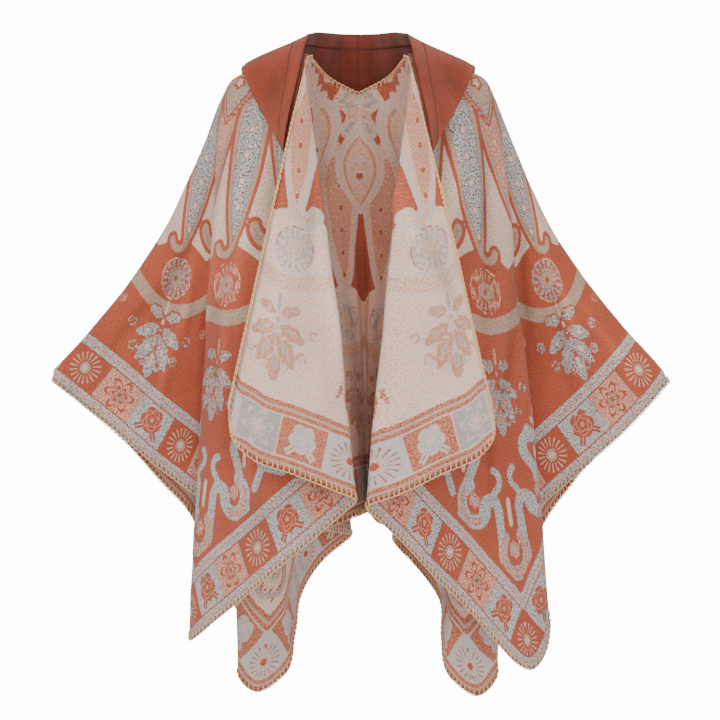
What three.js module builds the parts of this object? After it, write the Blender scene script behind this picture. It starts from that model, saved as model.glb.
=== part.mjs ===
// Hooded poncho: one woven blanket, slit up the centre front, with a felt hood sewn round its neck.
// It hangs open as on a wearer's shoulders. Millimetres, +Z up, and the front looks along -Y.
// The origin is on the centre line at the height of the shoulder points, where the shoulders carry it.
import * as THREE from "three";

// Wall thicknesses and the gap left at each seam
const BLANKET_CLOTH = 2.5;
const HOOD_CLOTH = 2;
const SEAM_GAP = 0.4;
const FALL_ROWS = 15; // steps down each rib
const FALL = 0.6; // share of a rib's drop at which its bow is set
const HOOD_STATIONS = 20; // steps from the front end of the neck seam to the centre back
const HOOD_ROWS = 16; // steps from the neck seam round the fold to the face edge
const NORMAL_STEP = 1; // step along the hem, and a thousandth of it down a rib, to find a normal
const NEAR_SEAM = 0.15; // share of the lower layer of the hood at which it clears the blanket
const HOOD_RISE = 5; // how far it clears it there
const NEAR_FOLD = 0.94; // share of each layer of the hood that lies before its fold

// Colours
const BLANKET_COLOUR = "#b0705a";
const HOOD_COLOUR = "#a84e32";

const NECK_SCOOP = 212; // length of the neck scoop from its middle at the back to a neck point

// Turns rows of values into rows with named columns.
function table(columns, rows) {
  return rows.map((row) => Object.fromEntries(columns.map((column, i) => [column, row[i]])));
}

// The line that carries the cloth, from the middle of the neck scoop over the shoulder to the sleeve tip.
// "at" is the length along it from the neck point, and x is the distance from the centre line.
const CARRYING_LINE = table(["name", "at", "x", "y", "z"], [
  ["neck scoop, centre back", -NECK_SCOOP, 0, 115.5, 0],
  ["neck scoop, back quarter", -161, 42, 97, 20],
  ["neck scoop, side", -81, 73, 30, 45],
  ["neck point", 0, 78, -50, 39],
  ["middle of the shoulder", 78, 143, -12, 25],
  ["shoulder point", 145, 203, 18, 7],
  ["below the shoulder", 172, 216, 24, -17],
  ["upper sleeve", 248, 245, 35, -88],
  ["middle sleeve", 422, 320, 50, -243],
  ["lower sleeve", 564, 403, 45, -357],
  ["sleeve tip", 706, 492, 25, -460],
]);

// Each row of a hem table is one rib of the cloth, from the carrying line down to the hem.
//   at        place on the hem, measured along it
//   line      place on the carrying line where the rib starts, from the neck point on a front, and
//             from the middle of the neck scoop on the back, where the left side is negative
//   x y z     where it meets the hem
//   outX..Z   the way it leaves the carrying line
//   bowX bowY how far it bows from a straight fall
//   steps     columns of faces up to the next row
const HEM_COLUMNS = [
  "name", "at", "line", "x", "y", "z", "outX", "outY", "outZ", "bowX", "bowY", "steps",
];

const FRONT_LEFT = table(HEM_COLUMNS, [
  ["slit edge", 0, 0, -195, -168, -500, 0, -80, 0, 0, -22, 1],
  ["slit corner", 35, 1, -190, -170, -549, 0, -80, 0, 0, -22, 1],
  ["slit corner end", 71, 2, -165, -173, -577, 0, -80, 0, 0, -22, 2],
  ["turned-back front", 150, 6, -92, -180, -606, 0, -80, 0, 0, -25, 2],
  ["turned-back front, inner", 215, 10, -31, -174, -631, 0, -80, 0, 4, -25, 2],
  ["front roll", 244, 13, -3, -155, -645, 0, -78, 0, 6, -24, 2],
  ["front roll, back", 270, 18, -20, -132, -663, 0, -74, 0, 4, -20, 2],
  ["front panel, inner", 330, 38, -64, -108, -703, 0, -70, 0, 0, -20, 2],
  ["front panel, ridge", 420, 68, -128, -98, -757, 0, -68, 0, 0, -24, 2],
  ["front panel, trough", 500, 98, -178, -56, -802, 0, -66, 0, 0, -22, 2],
  ["front panel, outer", 590, 130, -226, -28, -843, 0, -62, 0, 0, -18, 2],
  ["side ridge, front", 655, 152, -256, -8, -869, 0, -52, 0, 0, -14, 1],
  ["side ridge", 693, 166, -268, 12, -876, 0, -40, 0, -4, -8, 2],
  ["side ridge, back", 728, 176, -264, 28, -858, 0, -30, 0, -4, 0, 2],
  ["side pleat, front layer", 800, 188, -224, 40, -808, 0, -26, 0, 0, 0, 2],
  ["side pleat", 880, 200, -178, 46, -756, 0, -24, 0, 0, -2, 2],
  ["side pleat, turn", 930, 208, -180, 60, -724, 0, -24, 0, 0, 2, 2],
  ["side pleat, back layer", 1010, 220, -226, 64, -680, 0, -24, 0, 0, 6, 2],
  ["front of the sleeve", 1100, 244, -273, 63, -641, 0, -24, 0, 0, 4, 2],
  ["sleeve ridge", 1190, 330, -330, 44, -596, 0, -24, 0, 0, -6, 2],
  ["sleeve trough", 1280, 450, -392, 34, -541, 0, -22, 0, 0, -4, 2],
  ["sleeve, outer", 1350, 570, -446, 22, -497, 0, -18, 0, 0, -3, 2],
  ["sleeve tip", 1412, 694, -484, 18, -466, 0, -4, 0, 0, 0, 0],
]);

const FRONT_RIGHT = table(HEM_COLUMNS, [
  ["slit edge", 0, 0, 200, -168, -497, 0, -80, 0, 0, -22, 1],
  ["slit corner", 35, 1, 206, -170, -542, 0, -80, 0, 0, -22, 1],
  ["slit corner end", 71, 2, 191, -173, -570, 0, -80, 0, 0, -22, 2],
  ["turned-back front", 150, 6, 121, -180, -606, 0, -80, 0, 0, -25, 2],
  ["turned-back front, inner", 215, 10, 54, -174, -638, 0, -80, 0, -4, -25, 2],
  ["front roll", 244, 13, 13, -155, -655, 0, -78, 0, -8, -24, 2],
  ["front roll, back", 270, 18, 30, -132, -674, 0, -74, 0, -4, -20, 2],
  ["front panel, inner", 330, 38, 67, -108, -711, 0, -70, 0, 0, -20, 2],
  ["front panel, ridge", 420, 68, 116, -90, -764, 0, -68, 0, 0, -24, 2],
  ["front panel, trough", 510, 98, 168, -52, -818, 0, -66, 0, 0, -22, 2],
  ["front panel, outer", 600, 128, 222, -34, -880, 0, -62, 0, 0, -18, 2],
  ["outer corner", 646, 142, 247, -24, -907, 0, -58, 0, 0, -18, 1],
  ["outer corner, middle", 693, 154, 274, -14, -920, 0, -52, 0, 4, -14, 1],
  ["outer corner, end", 740, 164, 297, -2, -893, 0, -44, 0, 10, -10, 2],
  ["side ridge", 790, 174, 302, 16, -842, 0, -36, 0, 14, -6, 2],
  ["side ridge, back", 822, 181, 294, 30, -820, 0, -30, 0, 12, 0, 2],
  ["side pleat, front layer", 870, 190, 256, 42, -788, 0, -26, 0, 6, 0, 2],
  ["side pleat", 930, 200, 216, 48, -748, 0, -24, 0, 0, -2, 2],
  ["side pleat, turn", 975, 208, 220, 62, -718, 0, -24, 0, 0, 2, 2],
  ["side pleat, back layer", 1040, 220, 266, 68, -692, 0, -24, 0, 0, 6, 2],
  ["front of the sleeve", 1110, 244, 306, 66, -656, 0, -24, 0, 0, 4, 2],
  ["sleeve ridge", 1200, 330, 370, 44, -598, 0, -24, 0, 0, -6, 2],
  ["sleeve trough", 1285, 450, 426, 34, -546, 0, -22, 0, 0, -4, 2],
  ["sleeve, outer", 1350, 570, 466, 22, -502, 0, -18, 0, 0, -3, 2],
  ["sleeve tip", 1412, 694, 493, 18, -468, 0, -4, 0, 0, 0, 0],
]);

const BACK = table(HEM_COLUMNS, [
  ["left sleeve tip", -1471, -906, -487, 30, -467, 0, 4, 0, 0, 0, 2],
  ["left sleeve, outer", -1390, -782, -448, 56, -500, 0, 18, 0, 0, 4, 2],
  ["left sleeve trough", -1295, -642, -378, 88, -565, 0, 24, 0, 0, 6, 2],
  ["left sleeve ridge", -1200, -532, -322, 104, -629, 0, 34, 0, 0, 8, 2],
  ["left sleeve, inner", -1105, -456, -270, 124, -691, 0, 44, 0, 0, 8, 2],
  ["left side pleat", -1010, -432, -258, 160, -760, 0, 52, 0, 0, 16, 2],
  ["left side trough", -900, -416, -206, 166, -834, 0, 60, 0, 0, 20, 2],
  ["left side turn", -805, -402, -181, 134, -894, 0, 66, 0, 0, 14, 2],
  ["left corner, side", -734, -388, -193, 112, -951, 0, 72, 0, -4, 16, 2],
  ["left corner", -687, -374, -161, 96, -971, 0, 76, 0, -4, 16, 2],
  ["left corner, hem", -640, -360, -120, 92, -943, 0, 80, 0, -2, 16, 2],
  ["left lobe", -560, -330, -104, 112, -884, 0, 84, 0, 0, 18, 2],
  ["left lobe, upper", -480, -296, -94, 128, -820, 0, 88, 0, 0, 18, 2],
  ["left valley", -405, -256, -58, 150, -762, 0, 90, 0, 0, 18, 2],
  ["left valley turn", -350, -214, -12, 134, -722, -18, 96, -8, 0, 16, 2],
  ["left ridge, outer", -300, -172, -28, 84, -712, -12, 86, -30, 0, 10, 2],
  ["left ridge turn", -245, -128, -48, 42, -703, -6, 68, -50, -6, 3, 2],
  ["left ridge", -185, -86, -26, 31, -691, 0, 46, -66, -8, -1, 2],
  ["left ridge, inner", -120, -50, 2, 60, -682, 0, 34, -80, -4, 0, 2],
  ["centre valley, left", -55, -22, 12, 122, -682, 0, 26, -90, -2, 8, 2],
  ["centre valley", 0, 0, 17, 160, -684, 0, 24, -92, 0, 12, 2],
  ["centre valley, right", 55, 22, 23, 122, -688, 0, 26, -90, 2, 8, 2],
  ["right ridge, inner", 120, 50, 34, 60, -694, 0, 34, -80, 4, 0, 2],
  ["right ridge", 185, 86, 60, 33, -700, 0, 46, -66, 8, -1, 2],
  ["right ridge turn", 245, 128, 78, 46, -708, 6, 68, -50, 6, 3, 2],
  ["right ridge, outer", 300, 172, 58, 86, -722, 12, 86, -30, 0, 10, 2],
  ["right valley turn", 350, 214, 68, 132, -742, 18, 96, -8, 0, 16, 2],
  ["right valley", 405, 256, 102, 148, -780, 0, 90, 0, 0, 18, 2],
  ["right lobe, upper", 480, 296, 136, 128, -832, 0, 88, 0, 0, 18, 2],
  ["right lobe", 560, 330, 137, 112, -894, 0, 84, 0, 0, 18, 2],
  ["right corner, hem", 640, 360, 152, 94, -950, 0, 80, 0, 2, 16, 2],
  ["right corner", 687, 374, 191, 98, -978, 0, 76, 0, 4, 16, 2],
  ["right corner, side", 734, 388, 223, 114, -956, 0, 72, 0, 4, 16, 2],
  ["right side turn", 805, 402, 222, 134, -900, 0, 66, 0, 0, 14, 2],
  ["right side trough", 900, 416, 240, 166, -836, 0, 60, 0, 0, 20, 2],
  ["right side pleat", 1010, 432, 286, 160, -770, 0, 52, 0, 0, 16, 2],
  ["right sleeve, inner", 1105, 456, 302, 124, -702, 0, 44, 0, 0, 8, 2],
  ["right sleeve ridge", 1200, 532, 345, 104, -638, 0, 34, 0, 0, 8, 2],
  ["right sleeve trough", 1295, 642, 393, 88, -576, 0, 24, 0, 0, 6, 2],
  ["right sleeve, outer", 1390, 782, 449, 56, -508, 0, 18, 0, 0, 4, 2],
  ["right sleeve tip", 1471, 906, 496, 30, -468, 0, 4, 0, 0, 0, 0],
]);

// The left half of the hood, and the right one is its mirror. Each row is one section of the bag,
// from the neck seam out to the fold that lies on the shoulder or hangs at the back, and back up to
// the face edge.
//   at          place round the neck, from the front end of the hood
//   slit        where the seam lies on the slit edge, as a share of its length down from the neck point
//   scoop       or where it lies on the neck scoop, as a place on the carrying line
//   fold, face  the fold and the face edge, with x the distance from the centre line
//   lift        how far the upper layer stands off
const HOOD_COLUMNS = [
  "name", "at", "slit", "scoop", "foldX", "foldY", "foldZ", "faceX", "faceY", "faceZ", "liftY", "liftZ",
];

const HOOD = table(HOOD_COLUMNS, [
  ["front end", 0, 0.4, 0, 111, -110, -118, 115, -122, -109, 0, 0],
  ["lower collar", 45, 0.3, 0, 128, -82, -86, 109, -120, -70, -4, 1],
  ["collar", 90, 0.2, 0, 147, -62, -52, 99, -106, -22, -5, 2],
  ["upper collar", 130, 0.1, 0, 168, -34, -10, 88, -84, 32, -5, 4],
  ["below the neck point", 150, 0.045, 0, 178, -16, 15, 84, -64, 52, -4, 5],
  ["neck point", 170, 0, -8, 184, 6, 24.5, 80, -42, 68, 0, 6],
  ["shoulder", 212, 0, -50, 172, 70, -20, 74, 14, 84, 8, 9],
  ["behind the shoulder", 234, 0, -74, 157, 104, -64, 68, 48, 90, 14, 11],
  ["shoulder blade", 257, 0, -100, 138, 136, -110, 60, 82, 95, 20, 11],
  ["back of the neck", 283, 0, -129, 108, 157, -162, 46, 112, 99, 25, 8],
  ["side of the bag", 310, 0, -158, 76, 169, -210, 32, 136, 101, 26, 4],
  ["beside the centre seam", 350, 0, -196, 30, 180, -246, 12, 148, 102, 26, 1],
  ["centre seam", 366, 0, -212, 0.3, 181, -250, 0.3, 149, 102, 26, 0],
]);

// A smooth value of every numeric column at a place along a table: a cubic through the rows,
// whose slope at each row is that of a parabola through its neighbours.
function along(rows, place) {
  const last = rows.length - 2;
  let i = rows.findIndex((row, k) => k <= last && place < rows[k + 1].at);
  if (i < 0) i = last;
  const [from, to] = [rows[i], rows[i + 1]];
  const span = to.at - from.at;
  const t = (place - from.at) / span;
  const slope = (column, k) => {
    const rise = (j) => (rows[j + 1][column] - rows[j][column]) / (rows[j + 1].at - rows[j].at);
    if (k === 0) return rise(0);
    if (k === rows.length - 1) return rise(k - 1);
    const before = rows[k].at - rows[k - 1].at;
    const after = rows[k + 1].at - rows[k].at;
    return (rise(k - 1) * after + rise(k) * before) / (before + after);
  };
  const value = {};
  for (const column of Object.keys(from)) {
    if (typeof from[column] !== "number") continue;
    const start = slope(column, i) * span;
    const end = slope(column, i + 1) * span;
    const rise = to[column] - from[column];
    value[column] =
      from[column] + start * t + (3 * rise - 2 * start - end) * t * t +
      (start + end - 2 * rise) * t * t * t;
  }
  return value;
}

// A point of the carrying line, on the left for a side of -1 and on the right for 1.
function carryingPoint(side, place) {
  const { x, y, z } = along(CARRYING_LINE, place);
  return new THREE.Vector3(side * x, y, z);
}

// A point of one rib: f runs from 0 on the carrying line to 1 at the hem.
function ribPoint(start, rib, f) {
  const hem = new THREE.Vector3(rib.x, rib.y, rib.z);
  const leave = start.clone().add(new THREE.Vector3(rib.outX, rib.outY, rib.outZ));
  const fall = start.clone().lerp(hem, FALL).add(new THREE.Vector3(rib.bowX, rib.bowY, 0));
  return new THREE.CubicBezierCurve3(start, leave, fall, hem).getPoint(f);
}

// The middle of a front's wall at a place on the hem and a share f of the rib. The fronts and the
// back part at the shoulder line, each half a gap from it.
function frontPiece(rows, side) {
  return (place, f) => {
    const rib = along(rows, place);
    const start = carryingPoint(side, rib.line);
    start.y -= SEAM_GAP / 2;
    return ribPoint(start, rib, f);
  };
}

// The middle of the back's wall, in the same way.
function backPiece(rows) {
  return (place, f) => {
    const rib = along(rows, place);
    const start = carryingPoint(rib.line < 0 ? -1 : 1, Math.abs(rib.line) - NECK_SCOOP);
    start.y += SEAM_GAP / 2;
    return ribPoint(start, rib, f);
  };
}

// How far the middle of the hood's wall lies outside the middle of the blanket's at the neck seam
const SEAM_LIFT = (BLANKET_CLOTH + HOOD_CLOTH) / 2 + 2.3 * SEAM_GAP;

// The outward normal of a blanket piece, whose rows run from the slit outwards or from left to right.
function outwardNormal(surface, place, f, side) {
  const sideways = surface(place + NORMAL_STEP, f).sub(surface(place, f));
  const downwards = surface(place, f + NORMAL_STEP / 1000).sub(surface(place, f));
  return sideways.cross(downwards).multiplyScalar(side).normalize();
}

// The hood's table with its neck seam worked out on one side of the blanket.
function seamedHood(front, side) {
  return HOOD.map((row) => {
    const onSlit = row.slit > 0;
    const seam = onSlit ? front(0, row.slit) : carryingPoint(side, row.scoop);
    const place = scoopHemPlace(side * (row.scoop + NECK_SCOOP));
    const normal = onSlit ? outwardNormal(front, 0, row.slit, -side) : outwardNormal(back, place, 0, 1);
    seam.addScaledVector(normal, SEAM_LIFT);
    const centre = row.at === HOOD[HOOD.length - 1].at;
    const seamX = centre ? row.faceX : seam.x * side;
    const [riseX, riseY, riseZ] = [centre ? 0 : normal.x * side, normal.y, normal.z];
    return { ...row, seamX, seamY: seam.y, seamZ: seam.z, riseX, riseY, riseZ };
  });
}

// The middle of the hood's wall at a place round the neck and a share t of the section.
function hoodPiece(rows, side) {
  return (place, t) => {
    const h = along(rows, place);
    const seam = new THREE.Vector3(h.seamX, h.seamY, h.seamZ);
    const fold = new THREE.Vector3(h.foldX, h.foldY, h.foldZ);
    const face = new THREE.Vector3(h.faceX, h.faceY, h.faceZ);
    const rise = new THREE.Vector3(h.riseX, h.riseY, h.riseZ).multiplyScalar(HOOD_RISE);
    const clear = seam.clone().lerp(fold, NEAR_SEAM).add(rise);
    const lower = seam.clone().lerp(fold, NEAR_FOLD);
    const upper = face.clone().lerp(fold, NEAR_FOLD);
    upper.add(new THREE.Vector3(0, h.liftY, h.liftZ));
    const section = new THREE.CatmullRomCurve3([seam, clear, lower, fold, upper, face]);
    const point = section.getPoint(t);
    point.x *= side;
    return point;
  };
}

const frontLeft = frontPiece(FRONT_LEFT, -1);
const frontRight = frontPiece(FRONT_RIGHT, 1);
const back = backPiece(BACK);

// The place on the back's hem of the rib that starts at a place on the neck scoop.
function scoopHemPlace(line) {
  const i = BACK.findIndex((row) => row.line >= line);
  const [before, after] = [BACK[Math.max(i - 1, 0)], BACK[i]];
  return THREE.MathUtils.mapLinear(line, before.line, after.line, before.at, after.at);
}

// Places along a table: each row's own, with its number of even steps up to the next row.
function placesAlong(rows) {
  const places = [];
  rows.slice(0, -1).forEach((row, i) => {
    for (let k = 0; k < row.steps; k += 1) {
      places.push(row.at + ((rows[i + 1].at - row.at) * k) / row.steps);
    }
  });
  places.push(rows[rows.length - 1].at);
  return places;
}

// A closed wall of cloth round a surface of middle points, with an even thickness across it.
function clothWall(surface, across, down, thickness) {
  const NUDGE = 1e-3;
  const shift = (list, i, by) => {
    const [start, end] = [list[0], list[list.length - 1]];
    const share = (list[i] - start) / (end - start) + by * NUDGE;
    return THREE.MathUtils.lerp(start, end, THREE.MathUtils.clamp(share, 0, 1));
  };
  const columns = across.length;
  const rows = down.length;
  const front = [];
  const back = [];
  for (let j = 0; j < rows; j += 1) {
    for (let i = 0; i < columns; i += 1) {
      const middle = surface(across[i], down[j]);
      const sideways = surface(shift(across, i, 1), down[j]).sub(surface(shift(across, i, -1), down[j]));
      const downwards = surface(across[i], shift(down, j, 1)).sub(surface(across[i], shift(down, j, -1)));
      const normal = sideways.cross(downwards).normalize();
      front.push(middle.clone().addScaledVector(normal, thickness / 2));
      back.push(middle.clone().addScaledVector(normal, -thickness / 2));
    }
  }
  const half = front.length;
  const faces = [];
  const quad = (a, b, c, d) => faces.push(a, b, c, a, c, d);
  for (let j = 0; j < rows - 1; j += 1) {
    for (let i = 0; i < columns - 1; i += 1) {
      const a = j * columns + i;
      quad(a, a + 1, a + columns + 1, a + columns);
      quad(half + a, half + a + columns, half + a + columns + 1, half + a + 1);
    }
  }
  const rim = [];
  for (let i = 0; i < columns - 1; i += 1) rim.push(i);
  for (let j = 0; j < rows - 1; j += 1) rim.push(j * columns + columns - 1);
  for (let i = columns - 1; i > 0; i -= 1) rim.push((rows - 1) * columns + i);
  for (let j = rows - 1; j > 0; j -= 1) rim.push(j * columns);
  rim.forEach((a, k) => {
    const b = rim[(k + 1) % rim.length];
    quad(b, a, half + a, half + b);
  });
  const geometry = new THREE.BufferGeometry();
  geometry.setAttribute(
    "position",
    new THREE.Float32BufferAttribute([...front, ...back].flatMap((p) => p.toArray()), 3),
  );
  geometry.setIndex(faces);
  geometry.computeVertexNormals();
  return geometry;
}

const evenShares = (steps) => Array.from({ length: steps + 1 }, (_, i) => i / steps);

function cloth(name, geometry, colour) {
  const material = new THREE.MeshStandardMaterial({ color: colour, roughness: 0.95, metalness: 0 });
  const mesh = new THREE.Mesh(geometry, material);
  mesh.name = name;
  return mesh;
}

const poncho = new THREE.Group();

function addBlanketPiece(name, rows, surface) {
  const wall = clothWall(surface, placesAlong(rows), evenShares(FALL_ROWS), BLANKET_CLOTH);
  poncho.add(cloth(name, wall, BLANKET_COLOUR));
}

function addHoodHalf(name, front, side) {
  const places = evenShares(HOOD_STATIONS).map((share) => share * HOOD[HOOD.length - 1].at);
  const across = side > 0 ? places : places.reverse();
  const surface = hoodPiece(seamedHood(front, side), side);
  const wall = clothWall(surface, across, evenShares(HOOD_ROWS), HOOD_CLOTH);
  poncho.add(cloth(name, wall, HOOD_COLOUR));
}

addBlanketPiece("front_left", FRONT_LEFT, frontLeft);
addBlanketPiece("front_right", FRONT_RIGHT, frontRight);
addBlanketPiece("back", BACK, back);
addHoodHalf("hood_left", frontLeft, -1);
addHoodHalf("hood_right", frontRight, 1);

export default poncho;
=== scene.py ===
import math

import bmesh
import bpy
import numpy as np
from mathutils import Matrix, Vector


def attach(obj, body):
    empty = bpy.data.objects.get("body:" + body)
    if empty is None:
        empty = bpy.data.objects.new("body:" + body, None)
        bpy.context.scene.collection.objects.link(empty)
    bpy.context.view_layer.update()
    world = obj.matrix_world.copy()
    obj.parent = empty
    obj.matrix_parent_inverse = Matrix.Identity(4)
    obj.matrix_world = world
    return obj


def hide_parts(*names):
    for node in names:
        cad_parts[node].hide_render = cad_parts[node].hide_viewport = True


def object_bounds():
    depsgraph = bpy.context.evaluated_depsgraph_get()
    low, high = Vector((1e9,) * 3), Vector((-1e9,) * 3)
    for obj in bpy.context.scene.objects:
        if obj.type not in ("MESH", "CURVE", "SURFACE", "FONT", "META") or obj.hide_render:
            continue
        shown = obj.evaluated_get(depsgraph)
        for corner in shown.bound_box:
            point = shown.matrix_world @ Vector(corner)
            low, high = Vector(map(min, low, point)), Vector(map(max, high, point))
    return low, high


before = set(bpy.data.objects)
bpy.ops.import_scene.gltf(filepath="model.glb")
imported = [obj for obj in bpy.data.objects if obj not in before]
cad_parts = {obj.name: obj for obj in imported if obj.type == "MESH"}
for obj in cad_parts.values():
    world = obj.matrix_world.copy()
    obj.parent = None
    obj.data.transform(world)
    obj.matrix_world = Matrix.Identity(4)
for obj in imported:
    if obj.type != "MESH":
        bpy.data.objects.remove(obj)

cad_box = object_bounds()

# Camera: a long lens, level, looking straight at the front as in a product photograph. The origin, at
# the height of the shoulder points, lies above the middle of the picture.
PICTURE_WIDTH = 1.1376        # metres across the picture at the shoulders
PICTURE_X, PICTURE_Z = 0.003, -0.434
VIEW_DISTANCE = 3.6
SENSOR_WIDTH = 36


def in_scene(name, data):
    """A new object with this data, linked to the scene."""
    thing = bpy.data.objects.new(name, data)
    bpy.context.scene.collection.objects.link(thing)
    return thing


camera_data = bpy.data.cameras.new("camera")
camera_data.sensor_width = SENSOR_WIDTH
camera_data.lens = SENSOR_WIDTH * VIEW_DISTANCE / PICTURE_WIDTH
camera = in_scene("camera", camera_data)
camera.location = (PICTURE_X, -VIEW_DISTANCE, PICTURE_Z)
camera.rotation_euler = (math.pi / 2, 0, 0)
bpy.context.scene.camera = camera


# Blanket: one double-faced jacquard, 1.40 m wide and 1.55 m long, brushed on both faces. It is slit up
# the front and scooped at the neck, and hangs in ribs from the line that the shoulders carry.
# Lengths here are millimetres until a mesh is made, as in the part's own tables.
MM = 0.001
BLANKET_CLOTH = 2.4
SEAM_GAP = 0.4
NECK_SCOOP = 212
FALL = 0.6                    # share of a rib's drop at which its bow is set
HALF_WIDTH, FRONT_LENGTH, BACK_LENGTH = 700, 720, 825
SLIT_CORNER, OUTER_CORNER = 45, 60
SLIT_HALF_GAP = 20
CORNER_POINTS = 9
TINY = 1e-9                   # least length that anything is divided by


def rib_table(rows):
    """The rows without their names."""
    return np.array([row[1:] for row in rows], float)


# The carrying line: at, x, y, z in space, then u and v on the flat cloth.
CARRYING_LINE = rib_table([
    ("neck scoop, centre back", -212, 0, 115.5, 0, 0, -130),
    ("neck scoop, back quarter", -161, 42, 97, 20, 14, -98),
    ("neck scoop, side", -81, 73, 30, 45, 20, -10),
    ("neck point", 0, 78, -50, 39, 20, 90),
    ("middle of the shoulder", 78, 143, -12, 25, 86, 44),
    ("shoulder point", 145, 203, 18, 7, 140, 6),
    ("below the shoulder", 172, 216, 24, -17, 164, 0),
    ("upper sleeve", 248, 245, 35, -88, 240, -3),
    ("middle sleeve", 422, 320, 50, -243, 414, -9),
    ("lower sleeve", 564, 403, 45, -357, 556, -15),
    ("sleeve tip", 706, 492, 25, -460, 698, -20),
])

# One row a rib: place on the hem, place on the carrying line, x y z at the hem, the way it leaves the
# line (x y z), and how far it bows from a straight fall (x y).
FRONT_LEFT = rib_table([
    ("slit edge", 0, 0, -195, -168, -500, 0, -80, 0, 0, -22),
    ("slit corner", 35, 1, -190, -170, -549, 0, -80, 0, 0, -22),
    ("slit corner end", 71, 2, -165, -173, -577, 0, -80, 0, 0, -22),
    ("turned-back front", 150, 6, -92, -180, -606, 0, -80, 0, 0, -25),
    ("turned-back front, inner", 215, 10, -31, -174, -631, 0, -80, 0, 4, -25),
    ("front roll", 244, 13, -3, -155, -645, 0, -78, 0, 6, -24),
    ("front roll, back", 270, 18, -20, -132, -663, 0, -74, 0, 4, -20),
    ("front panel, inner", 330, 38, -64, -108, -703, 0, -70, 0, 0, -20),
    ("front panel, ridge", 420, 68, -128, -98, -757, 0, -68, 0, 0, -24),
    ("front panel, trough", 500, 98, -178, -56, -802, 0, -66, 0, 0, -22),
    ("front panel, outer", 590, 130, -226, -28, -843, 0, -62, 0, 0, -18),
    ("side ridge, front", 655, 152, -256, -8, -869, 0, -52, 0, 0, -14),
    ("side ridge", 693, 166, -268, 12, -876, 0, -40, 0, -4, -8),
    ("side ridge, back", 728, 176, -264, 28, -858, 0, -30, 0, -4, 0),
    ("side pleat, front layer", 800, 188, -224, 40, -808, 0, -26, 0, 0, 0),
    ("side pleat", 880, 200, -178, 46, -756, 0, -24, 0, 0, -2),
    ("side pleat, turn", 930, 208, -180, 60, -724, 0, -24, 0, 0, 2),
    ("side pleat, back layer", 1010, 220, -226, 64, -680, 0, -24, 0, 0, 6),
    ("front of the sleeve", 1100, 244, -273, 63, -641, 0, -24, 0, 0, 4),
    ("sleeve ridge", 1190, 330, -330, 44, -596, 0, -24, 0, 0, -6),
    ("sleeve trough", 1280, 450, -392, 34, -541, 0, -22, 0, 0, -4),
    ("sleeve, outer", 1350, 570, -446, 22, -497, 0, -18, 0, 0, -3),
    ("sleeve tip", 1412, 694, -484, 18, -466, 0, -4, 0, 0, 0),
])

FRONT_RIGHT = rib_table([
    ("slit edge", 0, 0, 200, -168, -497, 0, -80, 0, 0, -22),
    ("slit corner", 35, 1, 206, -170, -542, 0, -80, 0, 0, -22),
    ("slit corner end", 71, 2, 191, -173, -570, 0, -80, 0, 0, -22),
    ("turned-back front", 150, 6, 121, -180, -606, 0, -80, 0, 0, -25),
    ("turned-back front, inner", 215, 10, 54, -174, -638, 0, -80, 0, -4, -25),
    ("front roll", 244, 13, 13, -155, -655, 0, -78, 0, -8, -24),
    ("front roll, back", 270, 18, 30, -132, -674, 0, -74, 0, -4, -20),
    ("front panel, inner", 330, 38, 67, -108, -711, 0, -70, 0, 0, -20),
    ("front panel, ridge", 420, 68, 116, -90, -764, 0, -68, 0, 0, -24),
    ("front panel, trough", 510, 98, 168, -52, -818, 0, -66, 0, 0, -22),
    ("front panel, outer", 600, 128, 222, -34, -880, 0, -62, 0, 0, -18),
    ("outer corner", 646, 142, 247, -24, -907, 0, -58, 0, 0, -18),
    ("outer corner, middle", 693, 154, 274, -14, -920, 0, -52, 0, 4, -14),
    ("outer corner, end", 740, 164, 297, -2, -893, 0, -44, 0, 10, -10),
    ("side ridge", 790, 174, 302, 16, -842, 0, -36, 0, 14, -6),
    ("side ridge, back", 822, 181, 294, 30, -820, 0, -30, 0, 12, 0),
    ("side pleat, front layer", 870, 190, 256, 42, -788, 0, -26, 0, 6, 0),
    ("side pleat", 930, 200, 216, 48, -748, 0, -24, 0, 0, -2),
    ("side pleat, turn", 975, 208, 220, 62, -718, 0, -24, 0, 0, 2),
    ("side pleat, back layer", 1040, 220, 266, 68, -692, 0, -24, 0, 0, 6),
    ("front of the sleeve", 1110, 244, 306, 66, -656, 0, -24, 0, 0, 4),
    ("sleeve ridge", 1200, 330, 370, 44, -598, 0, -24, 0, 0, -6),
    ("sleeve trough", 1285, 450, 426, 34, -546, 0, -22, 0, 0, -4),
    ("sleeve, outer", 1350, 570, 466, 22, -502, 0, -18, 0, 0, -3),
    ("sleeve tip", 1412, 694, 493, 18, -468, 0, -4, 0, 0, 0),
])

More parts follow.
